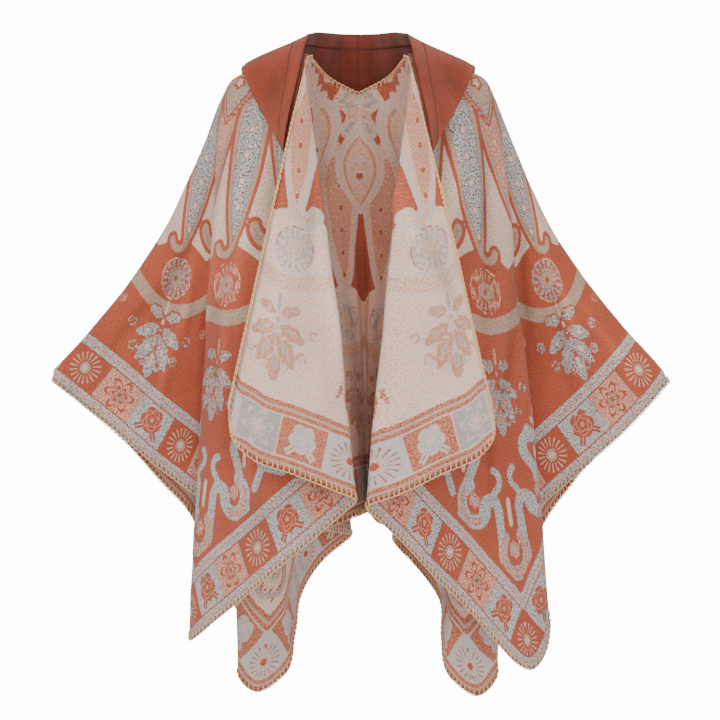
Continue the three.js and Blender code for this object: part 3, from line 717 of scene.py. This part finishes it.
def border_group():
    """The border: two speckled stripes, and between them a row of squares with a sun, a rose and a leaf
    star in turn from the corner. It puts out how far each colour of yarn shows, as two triples."""
    tree = new_group("border", first="Color", second="Color", cover="Float")
    specks = add_node(tree, "ShaderNodeGroup", node_tree=YARN).outputs["specks"]
    jitter = ragged_node(tree, specks, 4.6)

    def do(operation, *values):
        return math_node(tree, operation, *values)

    def from_centre(across, up):
        """How far a point lies from a motif's centre."""
        return do("SQRT", do("ADD", do("MULTIPLY", across, across), do("MULTIPLY", up, up)))

    def mask(distance, among=None):
        """Where a shape shows, from a distance that is above zero inside it."""
        value = ramp_node(tree, do("ADD", distance, jitter), -0.6, 0.6, "LINEAR")
        return value if among is None else do("MULTIPLY", value, among)

    def band(at, half):
        """A line along the border, half its width to either side of a distance in from the edge."""
        return do("SUBTRACT", half, do("ABSOLUTE", do("SUBTRACT", inward, at)))

    def flower(reach_from, turn, radius, count, depth, twist):
        """A flower with round petals, as on the rest of the cloth."""
        wave = do("ABSOLUTE", do("COSINE", do("MULTIPLY_ADD", turn, count / 2, twist)))
        return do("SUBTRACT", do("MULTIPLY_ADD", wave, radius * depth, radius * (1 - depth)), reach_from)

    def triple(name, which):
        """How a colour shows in the first or second three: whole in its own place, or not at all."""
        return (*(float(name == colour) for colour in COLOURS[3 * which : 3 * which + 3]), 1.0)

    shown = [triple("stripe", 0), triple("stripe", 1)]

    def paint(amount, name):
        """Weaves one colour over what is there."""
        for which in (0, 1):
            shown[which] = mix_node(tree, amount, shown[which], triple(name, which))

    inward, run, y = (field_node(tree, field) for field in ("inward", "run", "across"))
    index = do("ROUND", do("DIVIDE", run, SQUARE_PITCH))
    x = do("SUBTRACT", run, do("MULTIPLY", index, SQUARE_PITCH))
    kind = do("FLOORED_MODULO", index, 3.0)
    reach = from_centre(x, y)
    angle = do("ARCTAN2", y, x)
    paint(mask(band(BORDER - PINK_LINE, 1.6)), "pink")
    paint(mask(band(PINK_LINE, 1.2)), "pink")
    row = mask(band(BORDER / 2, SQUARE_HALF_HEIGHT))
    sun, rose, star = (do("MULTIPLY", row, do("COMPARE", kind, float(k), 0.2)) for k in range(3))

    # A sun with a ring of rays
    paint(sun, "line")
    beam = do("SUBTRACT", 0.46, do("ABSOLUTE", do("SINE", do("MULTIPLY", angle, 9.0))))
    ray = do("MULTIPLY", do("MULTIPLY", beam, reach), 0.11)
    ray = do("MINIMUM", do("MINIMUM", ray, do("SUBTRACT", reach, 13.0)), do("SUBTRACT", 27.0, reach))
    paint(mask(ray, sun), "cream")
    paint(mask(do("SUBTRACT", 10.0, reach), sun), "taupe")
    paint(mask(do("SUBTRACT", 6.0, reach), sun), "cream")

    # A rose over two leaves
    paint(rose, "stripe")
    upper_y = do("SUBTRACT", y, 4.0)
    upper_reach = from_centre(x, upper_y)
    upper_angle = do("ARCTAN2", upper_y, x)
    off_leaf = do("ABSOLUTE", do("ADD", do("ABSOLUTE", x), y))
    leaf = do("MINIMUM", do("SUBTRACT", 0.0, y), do("SUBTRACT", 31.0, reach))
    leaf = do("MINIMUM", do("SUBTRACT", 7.0, off_leaf), leaf)
    paint(mask(leaf, rose), "line")
    paint(mask(do("SUBTRACT", 1.2, off_leaf), do("MULTIPLY", rose, mask(leaf))), "stripe")
    paint(mask(flower(upper_reach, upper_angle, 22, 5, 0.2, 0.8), rose), "line")
    for radius in (17.0, 11.5):
        petal = flower(upper_reach, upper_angle, radius, 5, 0.25, 0.8 + radius)
        paint(mask(do("SUBTRACT", 1.1, do("ABSOLUTE", petal)), rose), "pink")
    paint(mask(do("SUBTRACT", 4.0, upper_reach), rose), "taupe")

    # A star of six leaves
    paint(star, "pink")
    paint(mask(do("SUBTRACT", do("ABSOLUTE", x), SQUARE_HALF_FIELD), star), "taupe")
    for radius, name in ((28.0, "line"), (23.0, "pink"), (15.0, "line"), (10.0, "taupe")):
        paint(mask(flower(reach, angle, radius, 6, 0.62, 0.8), star), name)
    paint(mask(do("SUBTRACT", 3.5, reach), star), "line")

    paint(mask(band(BORDER - RUST_LINE, 1.3)), "line")
    paint(mask(band(RUST_LINE, 1.3)), "line")
    return finish_group(tree, first=shown[0], second=shown[1], cover=mask(do("SUBTRACT", BORDER, inward)))


BORDER_WEAVE = border_group()
SPECK_EDGE, MOTIF_EDGE = 0.035, 0.9               # half the width over which one yarn gives way to another
PAINTED_EDGE_SHADE = 0.5              # painted shadow: how dark the cloth is painted under the stitches at its edges
PAINTED_FOLD_SHADE = 0.06             # painted shade: how much lighter a crease is painted for each millimetre that it stands out


def empty_tree(owner):
    """The shader tree of a new material or world, with nothing in it."""
    owner.use_nodes = True
    owner.node_tree.nodes.clear()
    return owner.node_tree


def put_out(tree, shader, kind="ShaderNodeOutputMaterial"):
    """Joins a finished shader to its tree's output."""
    tree.links.new(shader.outputs[0], tree.nodes.new(kind).inputs[0])


def painted_fold_shading(tree, shade, painted_fold_shade):
    """Painted shade on the creases: lighter where they stand out, and darker where they sink."""
    fold = math_node(tree, "MULTIPLY_ADD", field_node(tree, "fold"), painted_fold_shade, 1.0)
    return math_node(tree, "MULTIPLY", shade, fold)


def brushed_cloth(tree, colour, shade, roughness, height, strength, depth):
    """A rough cloth with a faint bloom of loose fibres, its colour shaded and its face raised."""
    tint = add_node(tree, "ShaderNodeCombineColor", {0: shade, 1: shade, 2: shade}).outputs[0]
    bump = add_node(tree, "ShaderNodeBump", {"Height": height, "Strength": strength, "Distance": depth})
    put_out(tree, add_node(tree, "ShaderNodeBsdfPrincipled", {
        "Base Color": mix_node(tree, 1.0, colour, tint, "MULTIPLY"), "Roughness": roughness,
        "Sheen Weight": 0.15, "Sheen Roughness": 0.6, "Specular IOR Level": 0.1,
        "Normal": bump.outputs[0],
    }))


def jacquard_material(name, ground, yarns, painted_fold_shade):
    """One face of the jacquard. Each entry is a colour, the yarn that specks it and the share of it that
    stays clear; the ground shows where no motif is."""
    material = bpy.data.materials.new(name)
    tree = empty_tree(material)
    yarn = add_node(tree, "ShaderNodeGroup", node_tree=YARN)
    specks = yarn.outputs["specks"]
    jitter = ragged_node(tree, specks, 7.0)

    def speckled(colour, other, clear):
        share = ramp_node(tree, specks, clear - SPECK_EDGE, clear + SPECK_EDGE, "LINEAR")
        return mix_node(tree, share, colour, other)

    border = add_node(tree, "ShaderNodeGroup", node_tree=BORDER_WEAVE)
    split = [add_node(tree, "ShaderNodeSeparateColor", {0: border.outputs[k]}).outputs for k in (0, 1)]
    inside = edge = speckled(*ground)
    for k, field in enumerate(COLOURS):
        distance = math_node(tree, "ADD", field_node(tree, field), jitter)
        in_motif = ramp_node(tree, distance, -MOTIF_EDGE, MOTIF_EDGE, "SMOOTHSTEP")
        woven = speckled(*yarns[field])
        inside = mix_node(tree, in_motif, inside, woven)
        edge = mix_node(tree, split[k // 3][k % 3], edge, woven)
    colour = mix_node(tree, border.outputs["cover"], inside, edge)
    shade = math_node(tree, "MULTIPLY_ADD", yarn.outputs["shade"], 0.30, 0.85)
    ribbed = math_node(tree, "MULTIPLY_ADD", yarn.outputs["height"], 0.76, 0.62)
    # Painted shadow: the cloth is darker within a few millimetres of its edges, under the stitches
    painted_edge_shadow = ramp_node(tree, field_node(tree, "rim"), 1.0, 7.5, "SMOOTHSTEP", PAINTED_EDGE_SHADE)
    shade = math_node(tree, "MULTIPLY", math_node(tree, "MULTIPLY", shade, ribbed), painted_edge_shadow)
    # Painted shade: lighter on creases that stand out, darker where they sink
    shade = painted_fold_shading(tree, shade, painted_fold_shade)
    brushed_cloth(tree, colour, shade, 0.95, yarn.outputs["height"], 0.6, 0.0009)
    return material


outer_face = jacquard_material("jacquard_outer", (RUST, DEEP_RUST, 0.58), {
    "cream": (BEIGE, TAUPE, 0.56), "taupe": (TAUPE, BEIGE, 0.60), "grey": (PALE_GREY, DARK_TAUPE, 0.52),
    "pink": (PALE_PINK, RUST, 0.53), "line": (RUST, DEEP_RUST, 0.58),
    "stripe": (PALE_GREY, DARK_TAUPE, 0.55),
}, PAINTED_FOLD_SHADE)
inner_face = jacquard_material("jacquard_inner", (CREAM, PALE_PINK, 0.55), {
    "cream": (RUST, PINK, 0.60), "taupe": (BEIGE, PINK, 0.55), "grey": (PINK, BEIGE, 0.58),
    "pink": (WARM_GREY, BEIGE, 0.60), "line": (PALE_GREY, BEIGE, 0.55), "stripe": (PINK, RUST, 0.50),
}, -PAINTED_FOLD_SHADE)

FRONT_GRID = (250, 140)       # columns and rows of faces
BACK_GRID = (410, 118)
NO_EDGE = 99                  # beside the neck, where no edge is near
HEM_SHARE = 0.3               # extra share of the rows that lies in the border


def rib_shares(rows):
    """Shares of a rib for the rows of a grid, closer together towards the hem."""
    even = np.linspace(0, 1, rows + 1)
    return even + HEM_SHARE * even * (1 - even)


blanket = {}
for name, rows, side, grid, creases, flat_size, area, hangs_from in (
    ("front_left", FRONT_LEFT, -1, FRONT_GRID, FRONT_CREASES, (0.68, 0.74), 0.49, ["back"]),
    ("front_right", FRONT_RIGHT, 1, FRONT_GRID, FRONT_CREASES, (0.68, 0.74), 0.49, ["back"]),
    ("back", BACK, 0, BACK_GRID, BACK_CREASES, (1.40, 0.825), 1.08, ["front_left", "front_right"]),
):
    place = np.linspace(rows[0, 0], rows[-1, 0], grid[0] + 1)
    points, u, v, length = lay_out(*blanket_piece(rows, side), place, rib_shares(grid[1]))
    points, normal, height = creased(points, u, v, creases, side)
    weave = jacquard(u, v)
    outward = -1 if side > 0 else 1
    # The creases' heights, for the painted shade on them
    weave["fold"] = height * outward
    neck = np.where(np.abs(along(rows, place)[:, 1]) < NECK_SCOOP, length, NO_EDGE)
    # How far each point lies from the nearest edge, for the painted shadow under the stitches
    weave["rim"] = np.minimum(weave["inward"], np.abs(u) - SLIT_HALF_GAP if side else neck)
    panel = cloth_mesh("cloth_" + name, points, side < 1, weave, (u, v))
    for face in (outer_face, inner_face, outer_face):
        panel.data.materials.append(face)
    thicken(panel, BLANKET_CLOTH)
    blanket[name] = (points, normal * outward)
    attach(panel, "root")
    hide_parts(name)


# Hood: two mirrored halves of plain felt, seamed at the centre back, with a 24 mm hem round the face.
# It lies open on the shoulders. Each row is one section from the neck seam round the fold to the face.
HOOD_CLOTH = 2.0
SEAM_LIFT = 3.17              # from the middle of the blanket to the middle of the felt at the seam
HOOD_RISE, NEAR_SEAM, NEAR_FOLD = 5, 0.15, 0.94
HOOD_HEM = 24
# The hood's felt, and the same felt painted darker and browner for the faces inside the hood, as painted
# shade
HOOD_FELT, SHADED_HOOD_FELT = linear(148, 61, 33), linear(124, 58, 44)
# at, place down the slit or along the scoop, then x y z of the fold and of the face edge, and the lift
HOOD = rib_table([
    ("front end", 0, 0.4, 0, 111, -110, -118, 115, -122, -109, 0, 0),
    ("lower collar", 45, 0.3, 0, 128, -82, -86, 109, -120, -70, -4, 1),
    ("collar", 90, 0.2, 0, 147, -62, -52, 99, -106, -22, -5, 2),
    ("upper collar", 130, 0.1, 0, 168, -34, -10, 88, -84, 32, -5, 4),
    ("below the neck point", 150, 0.045, 0, 178, -16, 15, 84, -64, 52, -4, 5),
    ("neck point", 170, 0, -8, 184, 6, 24.5, 80, -42, 68, 0, 6),
    ("shoulder", 212, 0, -50, 172, 70, -20, 74, 14, 84, 8, 9),
    ("behind the shoulder", 234, 0, -74, 157, 104, -64, 68, 48, 90, 14, 11),
    ("shoulder blade", 257, 0, -100, 138, 136, -110, 60, 82, 95, 20, 11),
    ("back of the neck", 283, 0, -129, 108, 157, -162, 46, 112, 99, 25, 8),
    ("side of the bag", 310, 0, -158, 76, 169, -210, 32, 136, 101, 26, 4),
    ("beside the centre seam", 350, 0, -196, 30, 180, -246, 12, 148, 102, 26, 1),
    ("centre seam", 366, 0, -212, 0, 181, -250, 0, 149, 102, 26, 0),
])


def seam_normal(surface, place, f, turn):
    """The outward normal of a blanket piece at one point of the neck seam."""
    here = surface(place, f)
    return unit(np.cross(surface(place + 1, f) - here, surface(place, f + 0.001) - here) * turn)


def seamed_hood(side):
    """The hood's rows as at, seam, fold, face, rise and lift, with the seam on one side's blanket."""
    front = blanket_piece(FRONT_LEFT if side < 0 else FRONT_RIGHT, side)[0]
    back = blanket_piece(BACK, 0)[0]
    rows = []
    for row in HOOD:
        at, slit, scoop = row[:3]
        if slit > 0:
            seam = front(np.array(0.0), np.array(slit))
            normal = seam_normal(front, np.array(0.0), np.array(slit), -side)
        else:
            line = side * (scoop + NECK_SCOOP)
            seam = along(CARRYING_LINE, np.array(scoop))[1:4] * (side, 1, 1)
            place = np.interp(line, BACK[:, 1], BACK[:, 0])
            normal = seam_normal(back, np.array(place), np.array(0.0), 1)
        seam = seam + normal * SEAM_LIFT
        centre = at == HOOD[-1, 0]
        seam_x = row[6] if centre else seam[0] * side
        rise_x = 0 if centre else normal[0] * side
        rows.append([at, seam_x, *seam[1:], *row[3:9], rise_x, *normal[1:], *row[9:]])
    return np.array(rows)


def smooth_section(knots, t):
    """A centripetal curve through knots (knot, place, xyz) at even shares t of it."""
    def gap(p, q):
        return np.sqrt(np.linalg.norm(q - p, axis=2, keepdims=True))

    knots = np.concatenate([2 * knots[:1] - knots[1:2], knots, 2 * knots[-1:] - knots[-2:-1]])
    spans = len(knots) - 3
    i = np.minimum((t * spans).astype(int), spans - 1)
    w = (t * spans - i)[:, None, None]
    a, b, c, d = (knots[i + k] for k in range(4))
    before, here, after = gap(a, b), gap(b, c), gap(c, d)
    start = ((b - a) / before - (c - a) / (before + here) + (c - b) / here) * here
    end = ((c - b) / here - (d - b) / (here + after) + (d - c) / after) * here
    return b + start * w + (3 * (c - b) - 2 * start - end) * w**2 + (2 * (b - c) + start + end) * w**3


def hood_surface(side, place, t):
    """The middle of one half's felt, at places round the neck (columns) and shares t of a section (rows)."""
    h = along(seamed_hood(side), place)
    seam, fold, face, rise, lift = h[:, 1:4], h[:, 4:7], h[:, 7:10], h[:, 10:13], h[:, 13:15]
    clear = seam + (fold - seam) * NEAR_SEAM + rise * HOOD_RISE
    lower = seam + (fold - seam) * NEAR_FOLD
    upper = face + (fold - face) * NEAR_FOLD
    upper = upper + np.column_stack([np.zeros(len(lift)), lift])
    points = smooth_section(np.stack([seam, clear, lower, fold, upper, face]), t)
    return points * (side, 1, 1)


# Creases of the hood: place round the neck, share of the section, half extents of each, height in mm
HOOD_CREASES = [
    (60, 0.80, 34, 0.05, 3.4), (120, 0.86, 26, 0.06, -3.2), (150, 0.72, 22, 0.05, 3.6),
    (196, 0.84, 18, 0.10, 3.4), (226, 0.78, 14, 0.12, -3.0), (262, 0.84, 12, 0.14, 3.0),
    (300, 0.80, 12, 0.14, -2.8), (334, 0.84, 10, 0.12, 2.2), (40, 0.62, 20, 0.05, -2.4),
    (84, 0.68, 18, 0.05, 2.4), (180, 0.35, 14, 0.12, 2.2), (250, 0.30, 12, 0.14, -2.4),
    (310, 0.34, 12, 0.14, 2.4), (90, 0.35, 16, 0.08, -2.0), (36, 0.48, 44, 0.10, 3.6),
    (118, 0.52, 50, 0.12, -3.6), (70, 0.22, 46, 0.10, 3.0),
]
CREASE_LEAN, CREASE_SPREAD = 3, 1.6               # how a crease runs aslant and how softly it ends
CREASE_SHIFT = 6              # how much further round the neck the right half's creases lie
SMOOTH_SEAM = 20              # the stretch before the centre seam in which they fade out


def hood_crease_heights(side, place, t):
    """How far the creases lift one half of the hood, at places round the neck and shares of a section.
    They fade out towards the centre seam and the neck seam."""
    height = np.zeros((len(t), len(place)))
    for at, share, half_at, half_share, rise in HOOD_CREASES:
        down = t[:, None] - share
        round_neck = (place[None, :] - at - side * CREASE_SHIFT) / half_at + down * CREASE_LEAN
        height += rise * np.exp(-round_neck**2 - (down / half_share / CREASE_SPREAD) ** 2)
    from_centre = np.clip((HOOD[-1, 0] - place) / SMOOTH_SEAM, 0, 1)
    return height * from_centre[None, :] * np.clip(t * 5, 0, 1)[:, None]


GROOVE_HALF = 2.2             # half the width of the groove in which the hem's stitches lie
PAINTED_GROOVE_SHADE = 0.78           # painted shade: how dark the felt is painted in it


def felt_material(name, felt_colour, painted_fold_shade):
    """Brushed felt: fine fibres over a soft mottle, with a groove where the hem is stitched. Shade is
    painted into the groove and onto the creases.
    """
    material = bpy.data.materials.new(name)
    tree = empty_tree(material)
    flat = flat_node(tree)
    fibres, mottle = noise_node(tree, flat, 430, 3, 0.65), noise_node(tree, flat, 22, 4, 0.65)
    off = math_node(tree, "ABSOLUTE", math_node(tree, "SUBTRACT", field_node(tree, "edge"), HOOD_HEM))
    groove = ramp_node(tree, off, 0.0, GROOVE_HALF, "SMOOTHSTEP")
    shade = math_node(tree, "MULTIPLY_ADD", mottle, 1.1, -0.1)
    # Random tone from the fibres and mottle, with painted shade on the creases
    shade = painted_fold_shading(tree, math_node(tree, "MULTIPLY_ADD", fibres, 1.1, shade), painted_fold_shade)
    # Painted shade in the groove of the hem's stitches
    sewn = math_node(tree, "MULTIPLY_ADD", groove, 1 - PAINTED_GROOVE_SHADE, PAINTED_GROOVE_SHADE)
    height = math_node(tree, "MULTIPLY_ADD", groove, 1.4, math_node(tree, "MULTIPLY", fibres, 0.8))
    shade = math_node(tree, "MULTIPLY", shade, sewn)
    brushed_cloth(tree, felt_colour, shade, 0.96, height, 1.0, 0.0016)
    return material


felt = felt_material("hood_felt", HOOD_FELT, PAINTED_FOLD_SHADE)
# Inside the hood: the same felt painted darker and browner, as painted shade
felt_inside_painted_shade = felt_material("hood_felt_inside", SHADED_HOOD_FELT, -PAINTED_FOLD_SHADE)
HOOD_GRID = (150, 110)
hood = {}
for name, side, rests_on in (("hood_left", -1, "front_left"), ("hood_right", 1, "front_right")):
    place = np.linspace(0, HOOD[-1, 0], HOOD_GRID[0] + 1)
    t = np.linspace(0, 1, HOOD_GRID[1] + 1)
    points = hood_surface(side, place, t)
    normal = grid_normals(points) * side
    height = hood_crease_heights(side, place, t)
    points = points + normal * height[..., None]
    step = np.linalg.norm(np.diff(points, axis=0), axis=2)
    edge = np.concatenate([np.cumsum(step[::-1], 0)[::-1], np.zeros_like(step[:1])])
    u = np.broadcast_to(place[None, :], edge.shape) * side
    half = cloth_mesh(name + "_felt", points, side < 0, {"edge": edge, "fold": height}, (u, edge))
    for face in (felt_inside_painted_shade, felt, felt):
        half.data.materials.append(face)
    thicken(half, HOOD_CLOTH)
    hood[name] = (points, normal, edge)
    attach(half, "root")
    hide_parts(name)


# Blanket stitch: peach yarn round every edge of the blanket. Each stitch has a leg on both faces that
# runs in from the edge, and a purl that lies along the edge to the next stitch.
STITCH_PITCH, LEG, YARN_RADIUS = 8.6, 8.0, 1.05
SEATED = 0.7                  # how high a yarn's middle lies on the cloth, as a share of its radius
LEG_LEAN, LEG_VARIES = 0.9, 1.0
TIP_BEND, EDGE_BEND, EDGE_RISE, ROUND_EDGE = 1.2, 1.5, 0.2, 0.4      # how a leg bends at its tip and edge
PURL_SAG, PURL_POINTS = 0.7, 5
YARN_SIDES, YARN_END = 5, 0.55                    # faces round a yarn, and how far it narrows at its ends
SELDOM_ALONG = (0.31, 0.22, 0.925)                # a direction that next to no yarn runs in
YARN_COLOUR, YARN_SHADE = linear(255, 206, 148), linear(238, 168, 108)


def tubes(name, paths, radius, material):
    """One piece of round yarns; paths is an array of (yarn, point, xyz) in millimetres."""
    count, steps = paths.shape[:2]
    sides = YARN_SIDES
    run = unit(np.gradient(paths, axis=1))
    aside = unit(np.cross(run, SELDOM_ALONG))
    up = np.cross(run, aside)
    taper = np.ones(steps)
    taper[0] = taper[-1] = YARN_END
    angles = 2 * math.pi * np.arange(sides) / sides
    ring = np.cos(angles)[:, None] * aside[:, :, None] + np.sin(angles)[:, None] * up[:, :, None]
    points = paths[:, :, None] + radius * taper[None, :, None, None] * ring
    first = (np.arange(count) * steps * sides)[:, None, None]
    a = first + (np.arange(steps - 1) * sides)[None, :, None] + np.arange(sides)[None, None, :]
    after = (np.arange(sides) + 1) % sides
    b = first + (np.arange(steps - 1) * sides)[None, :, None] + after[None, None, :]
    walls = np.stack([a, b, b + sides, a + sides], -1).reshape(-1, 4)
    ends = []
    for start, order in ((0, -1), ((steps - 1) * sides, 1)):
        ends += [tuple(int(c) + start + k for k in range(sides)[::order]) for c in first[:, 0, 0]]
    mesh = bpy.data.meshes.new(name)
    mesh.from_pydata((points.reshape(-1, 3) * MM).tolist(), [], [tuple(map(int, w)) for w in walls] + ends)
    mesh.polygons.foreach_set("use_smooth", np.ones(len(mesh.polygons), bool))
    mesh.update()
    mesh.materials.append(material)
    thing = in_scene(name, mesh)
    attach(thing, "root")


def sampled(values, length, places):
    """Rows of values at places along a line, whose own points lie at these lengths."""
    return np.stack([np.interp(places, length, values[:, k]) for k in range(3)], 1)


def edge_run(edge, inner, normal, first, last):
    """Even places along an edge of a grid: points, the way into the cloth and the outward normal."""
    length = run_length(edge)
    begin, end = length[-1] * first, length[-1] * last
    places = np.linspace(begin, end, max(2, round((end - begin) / STITCH_PITCH) + 1))
    at, out = sampled(edge, length, places), unit(sampled(normal, length, places))
    way = sampled(inner, length, places) - at
    return at, unit(way - out * (way * out).sum(1, keepdims=True)), out


def blanket_stitch(at, way, out, seed, under_hood):
    """The paths of the legs and of the purls along one run of edge. Under the hood's seam the legs show
    on the inner face alone."""
    sway = np.random.default_rng(seed)
    lift = BLANKET_CLOTH / 2 + YARN_RADIUS * SEATED
    run = unit(np.gradient(at, axis=0))
    lean = sway.uniform(-LEG_LEAN, LEG_LEAN, (len(at), 1))
    length = LEG + sway.uniform(-LEG_VARIES, LEG_VARIES, (len(at), 1))
    outer = [
        at + way * length + run * lean + out * (lift - YARN_RADIUS),
        at + way * (length - TIP_BEND) + run * lean + out * lift,
        at + way * EDGE_BEND + out * (lift + EDGE_RISE),
        at - way * YARN_RADIUS + out * lift * ROUND_EDGE,
    ]
    inner = [
        at - way * YARN_RADIUS - out * lift * ROUND_EDGE,
        at + way * EDGE_BEND - out * (lift + EDGE_RISE),
        at + way * (length - TIP_BEND) - run * lean - out * lift,
        at + way * length - run * lean - out * (lift - YARN_RADIUS),
    ]
    legs = np.stack(inner if under_hood else outer + inner, 1)
    share = np.linspace(0, 1, PURL_POINTS)[None, :, None]
    rim = at - way * YARN_RADIUS * 1.1 - out * (lift * 0.6 if under_hood else 0)
    slack = 4 * share * (1 - share) * PURL_SAG
    purls = rim[:-1, None] * (1 - share) + rim[1:, None] * share - way[:-1, None] * slack
    return legs, purls


def plied_material(name, scale, colour, shade, roughness, sheen=0.0, relief=0.0):
    """Twisted yarn or thread, whose colour and height change from ply to ply."""
    material = bpy.data.materials.new(name)
    tree = empty_tree(material)
    ply = noise_node(tree, add_node(tree, "ShaderNodeTexCoord").outputs["Object"], scale)
    inputs = {
        "Base Color": mix_node(tree, ply, colour, shade), "Roughness": roughness, "Sheen Weight": sheen,
    }
    if relief:
        bump = add_node(tree, "ShaderNodeBump", {"Height": ply, "Strength": relief, "Distance": 0.0005})
        inputs["Normal"] = bump.outputs[0]
    put_out(tree, add_node(tree, "ShaderNodeBsdfPrincipled", inputs))
    return material


stitch_yarn = plied_material("stitch_yarn", 700, YARN_COLOUR, YARN_SHADE, 0.85, sheen=0.3, relief=0.4)
HOOD_END = 0.41               # the hood covers the slit edge above this share
for seed, (name, (points, normal)) in enumerate(blanket.items()):
    runs = [(points[-1], points[-3], normal[-1], 0.0, 1.0, False)]
    if name == "back":
        half = along(BACK, BACK[:, 0])[:, 1]
        neck = np.interp((-NECK_SCOOP, NECK_SCOOP), half, BACK[:, 0])
        i = np.searchsorted(np.linspace(BACK[0, 0], BACK[-1, 0], points.shape[1]), neck)
        cut = slice(i[0], i[1] + 1)
        runs.append((points[0, cut], points[3, cut], normal[0, cut], 0.0, 1.0, True))
    else:
        runs.append((points[:, 0], points[:, 2], normal[:, 0], HOOD_END, 1.0, False))
        runs.append((points[:, 0], points[:, 2], normal[:, 0], 0.0, HOOD_END, True))
    for k, (edge, inner, out, first, last, under_hood) in enumerate(runs):
        sewn = blanket_stitch(*edge_run(edge, inner, out, first, last), seed * 7 + k, under_hood)
        for kind, paths in zip(("legs", "purls"), sewn):
            tubes(f"stitch_{kind}_{name}_{k}", paths, YARN_RADIUS, stitch_yarn)

# Hood sewing: rust thread along the hem on the outer face, and dark overlocking on its raw edge inside,
# which also runs down the centre seam.
TOPSTITCH_PITCH, TOPSTITCH_SHARE, TOPSTITCH_RADIUS = 4.0, 0.72, 0.45
OVERLOCK_PITCH, OVERLOCK_HALF, OVERLOCK_RADIUS, OVERLOCK_LIFT = 2.2, 2, 0.8, 0.3
SEAM_HALF, SEAM_LIFT_INSIDE, SEAM_WANDER = 2.6, 0.4, 1.2             # the overlocking on the centre seam
threads = {
    name: plied_material(name, 900, tone, linear(150, 74, 50), 0.8)
    for name, tone in (("topstitch", linear(120, 52, 34)), ("overlock", linear(62, 34, 30)))
}


def hem_line(points, edge, distance, pitch):
    """Even places on one face of the hood at a distance in from its face edge."""
    line = np.array([
        [np.interp(distance, edge[::-1, i], points[::-1, i, k]) for k in range(3)]
        for i in range(points.shape[1])
    ])
    return resampled(line, pitch)


def resampled(line, pitch):
    """A line of points, evenly spaced."""
    length = run_length(line)
    return sampled(line, length, np.arange(0, length[-1], pitch))


def strokes(starts, ends, shares):
    """Straight yarns from each start to its end, with points at shares of the way."""
    return np.stack([starts * (1 - s) + ends * s for s in shares], 1)


for name, (points, normal, edge) in hood.items():
    face = HOOD_CLOTH / 2
    outside, inside = points + normal * face, points - normal * (face + OVERLOCK_LIFT)
    line = hem_line(outside, edge, HOOD_HEM, TOPSTITCH_PITCH)
    ends = line[:-1] + (line[1:] - line[:-1]) * TOPSTITCH_SHARE
    runs = [("topstitch", strokes(line[:-1], ends, (0, 0.2, 0.5, 0.8, 1)))]
    near = hem_line(inside, edge, HOOD_HEM - OVERLOCK_HALF, OVERLOCK_PITCH)
    far = hem_line(inside, edge, HOOD_HEM + OVERLOCK_HALF, OVERLOCK_PITCH)
    count = min(len(near), len(far)) - 1
    runs.append(("overlock", strokes(near[:count], far[1 : count + 1], (0, 0.33, 0.66, 1))))
    if name == "hood_left":
        seam = resampled((points - normal * (face + SEAM_LIFT_INSIDE))[:, -1], OVERLOCK_PITCH)
        place = np.arange(len(seam))
        seam[:, 0] = np.where(place % 2 == 0, -SEAM_HALF, SEAM_HALF) + SEAM_WANDER * np.sin(place / 9)
        runs.append(("overlock", strokes(seam[:-1], seam[1:], (0, 0.5, 1))))
    for k, (kind, paths) in enumerate(runs):
        radius = TOPSTITCH_RADIUS if kind == "topstitch" else OVERLOCK_RADIUS
        tubes(f"{kind}_{name}_{k}", paths, radius, threads[kind])


# Stage: a pale studio floor a little below the hanging garment, of white paper that the camera sees
# evenly bright and that lights the garment as paper would.
BACKDROP_GLOW = 14.0
FLOOR_HALF_WIDTH, FLOOR_DROP = 7, 0.25
build = bmesh.new()
bmesh.ops.create_grid(build, x_segments=1, y_segments=1, size=FLOOR_HALF_WIDTH)
mesh = bpy.data.meshes.new("floor")
build.to_mesh(mesh)
build.free()
paper = bpy.data.materials.new("floor_paper")
tree = empty_tree(paper)
sheet = add_node(tree, "ShaderNodeBsdfPrincipled", {"Base Color": (0.85, 0.85, 0.86, 1), "Roughness": 0.9})
glow = add_node(tree, "ShaderNodeEmission", {"Color": (1, 1, 1, 1), "Strength": BACKDROP_GLOW})
seen = add_node(tree, "ShaderNodeLightPath").outputs["Is Camera Ray"]
put_out(tree, add_node(tree, "ShaderNodeMixShader", {0: seen, 1: sheet.outputs[0], 2: glow.outputs[0]}))
mesh.materials.append(paper)
floor = in_scene("floor", mesh)
floor.location.z = cad_box[0].z - FLOOR_DROP


# Light: one large soft source above the camera's left, a wide fill beside the camera that reaches into
# the garment, a soft top light and a bright room.
GARMENT_MIDDLE = Vector((0, 0, -0.4))
ROOM_LIGHT = 0.7


def soft_light(name, size, power, place):
    """A square studio light that looks at the middle of the garment."""
    data = bpy.data.lights.new(name, "AREA")
    data.shape, data.size, data.energy = "SQUARE", size, power
    lamp = in_scene(name, data)
    lamp.location = place
    lamp.rotation_euler = (GARMENT_MIDDLE - lamp.location).to_track_quat("-Z", "Y").to_euler()


soft_light("key", 1.4, 38, (-1.4, -2.4, 1.6))
soft_light("fill", 1.6, 52, (0.5, -3.5, -0.2))
soft_light("top", 1.4, 14, (0.2, 0.6, 2.2))
world = bpy.data.worlds.new("studio")
tree = empty_tree(world)
seen = add_node(tree, "ShaderNodeLightPath").outputs["Is Camera Ray"]
strength = math_node(tree, "MULTIPLY_ADD", seen, BACKDROP_GLOW - ROOM_LIGHT, ROOM_LIGHT)
room = add_node(tree, "ShaderNodeBackground", {"Color": (1, 1, 1, 1), "Strength": strength})
put_out(tree, room, "ShaderNodeOutputWorld")
bpy.context.scene.world = world
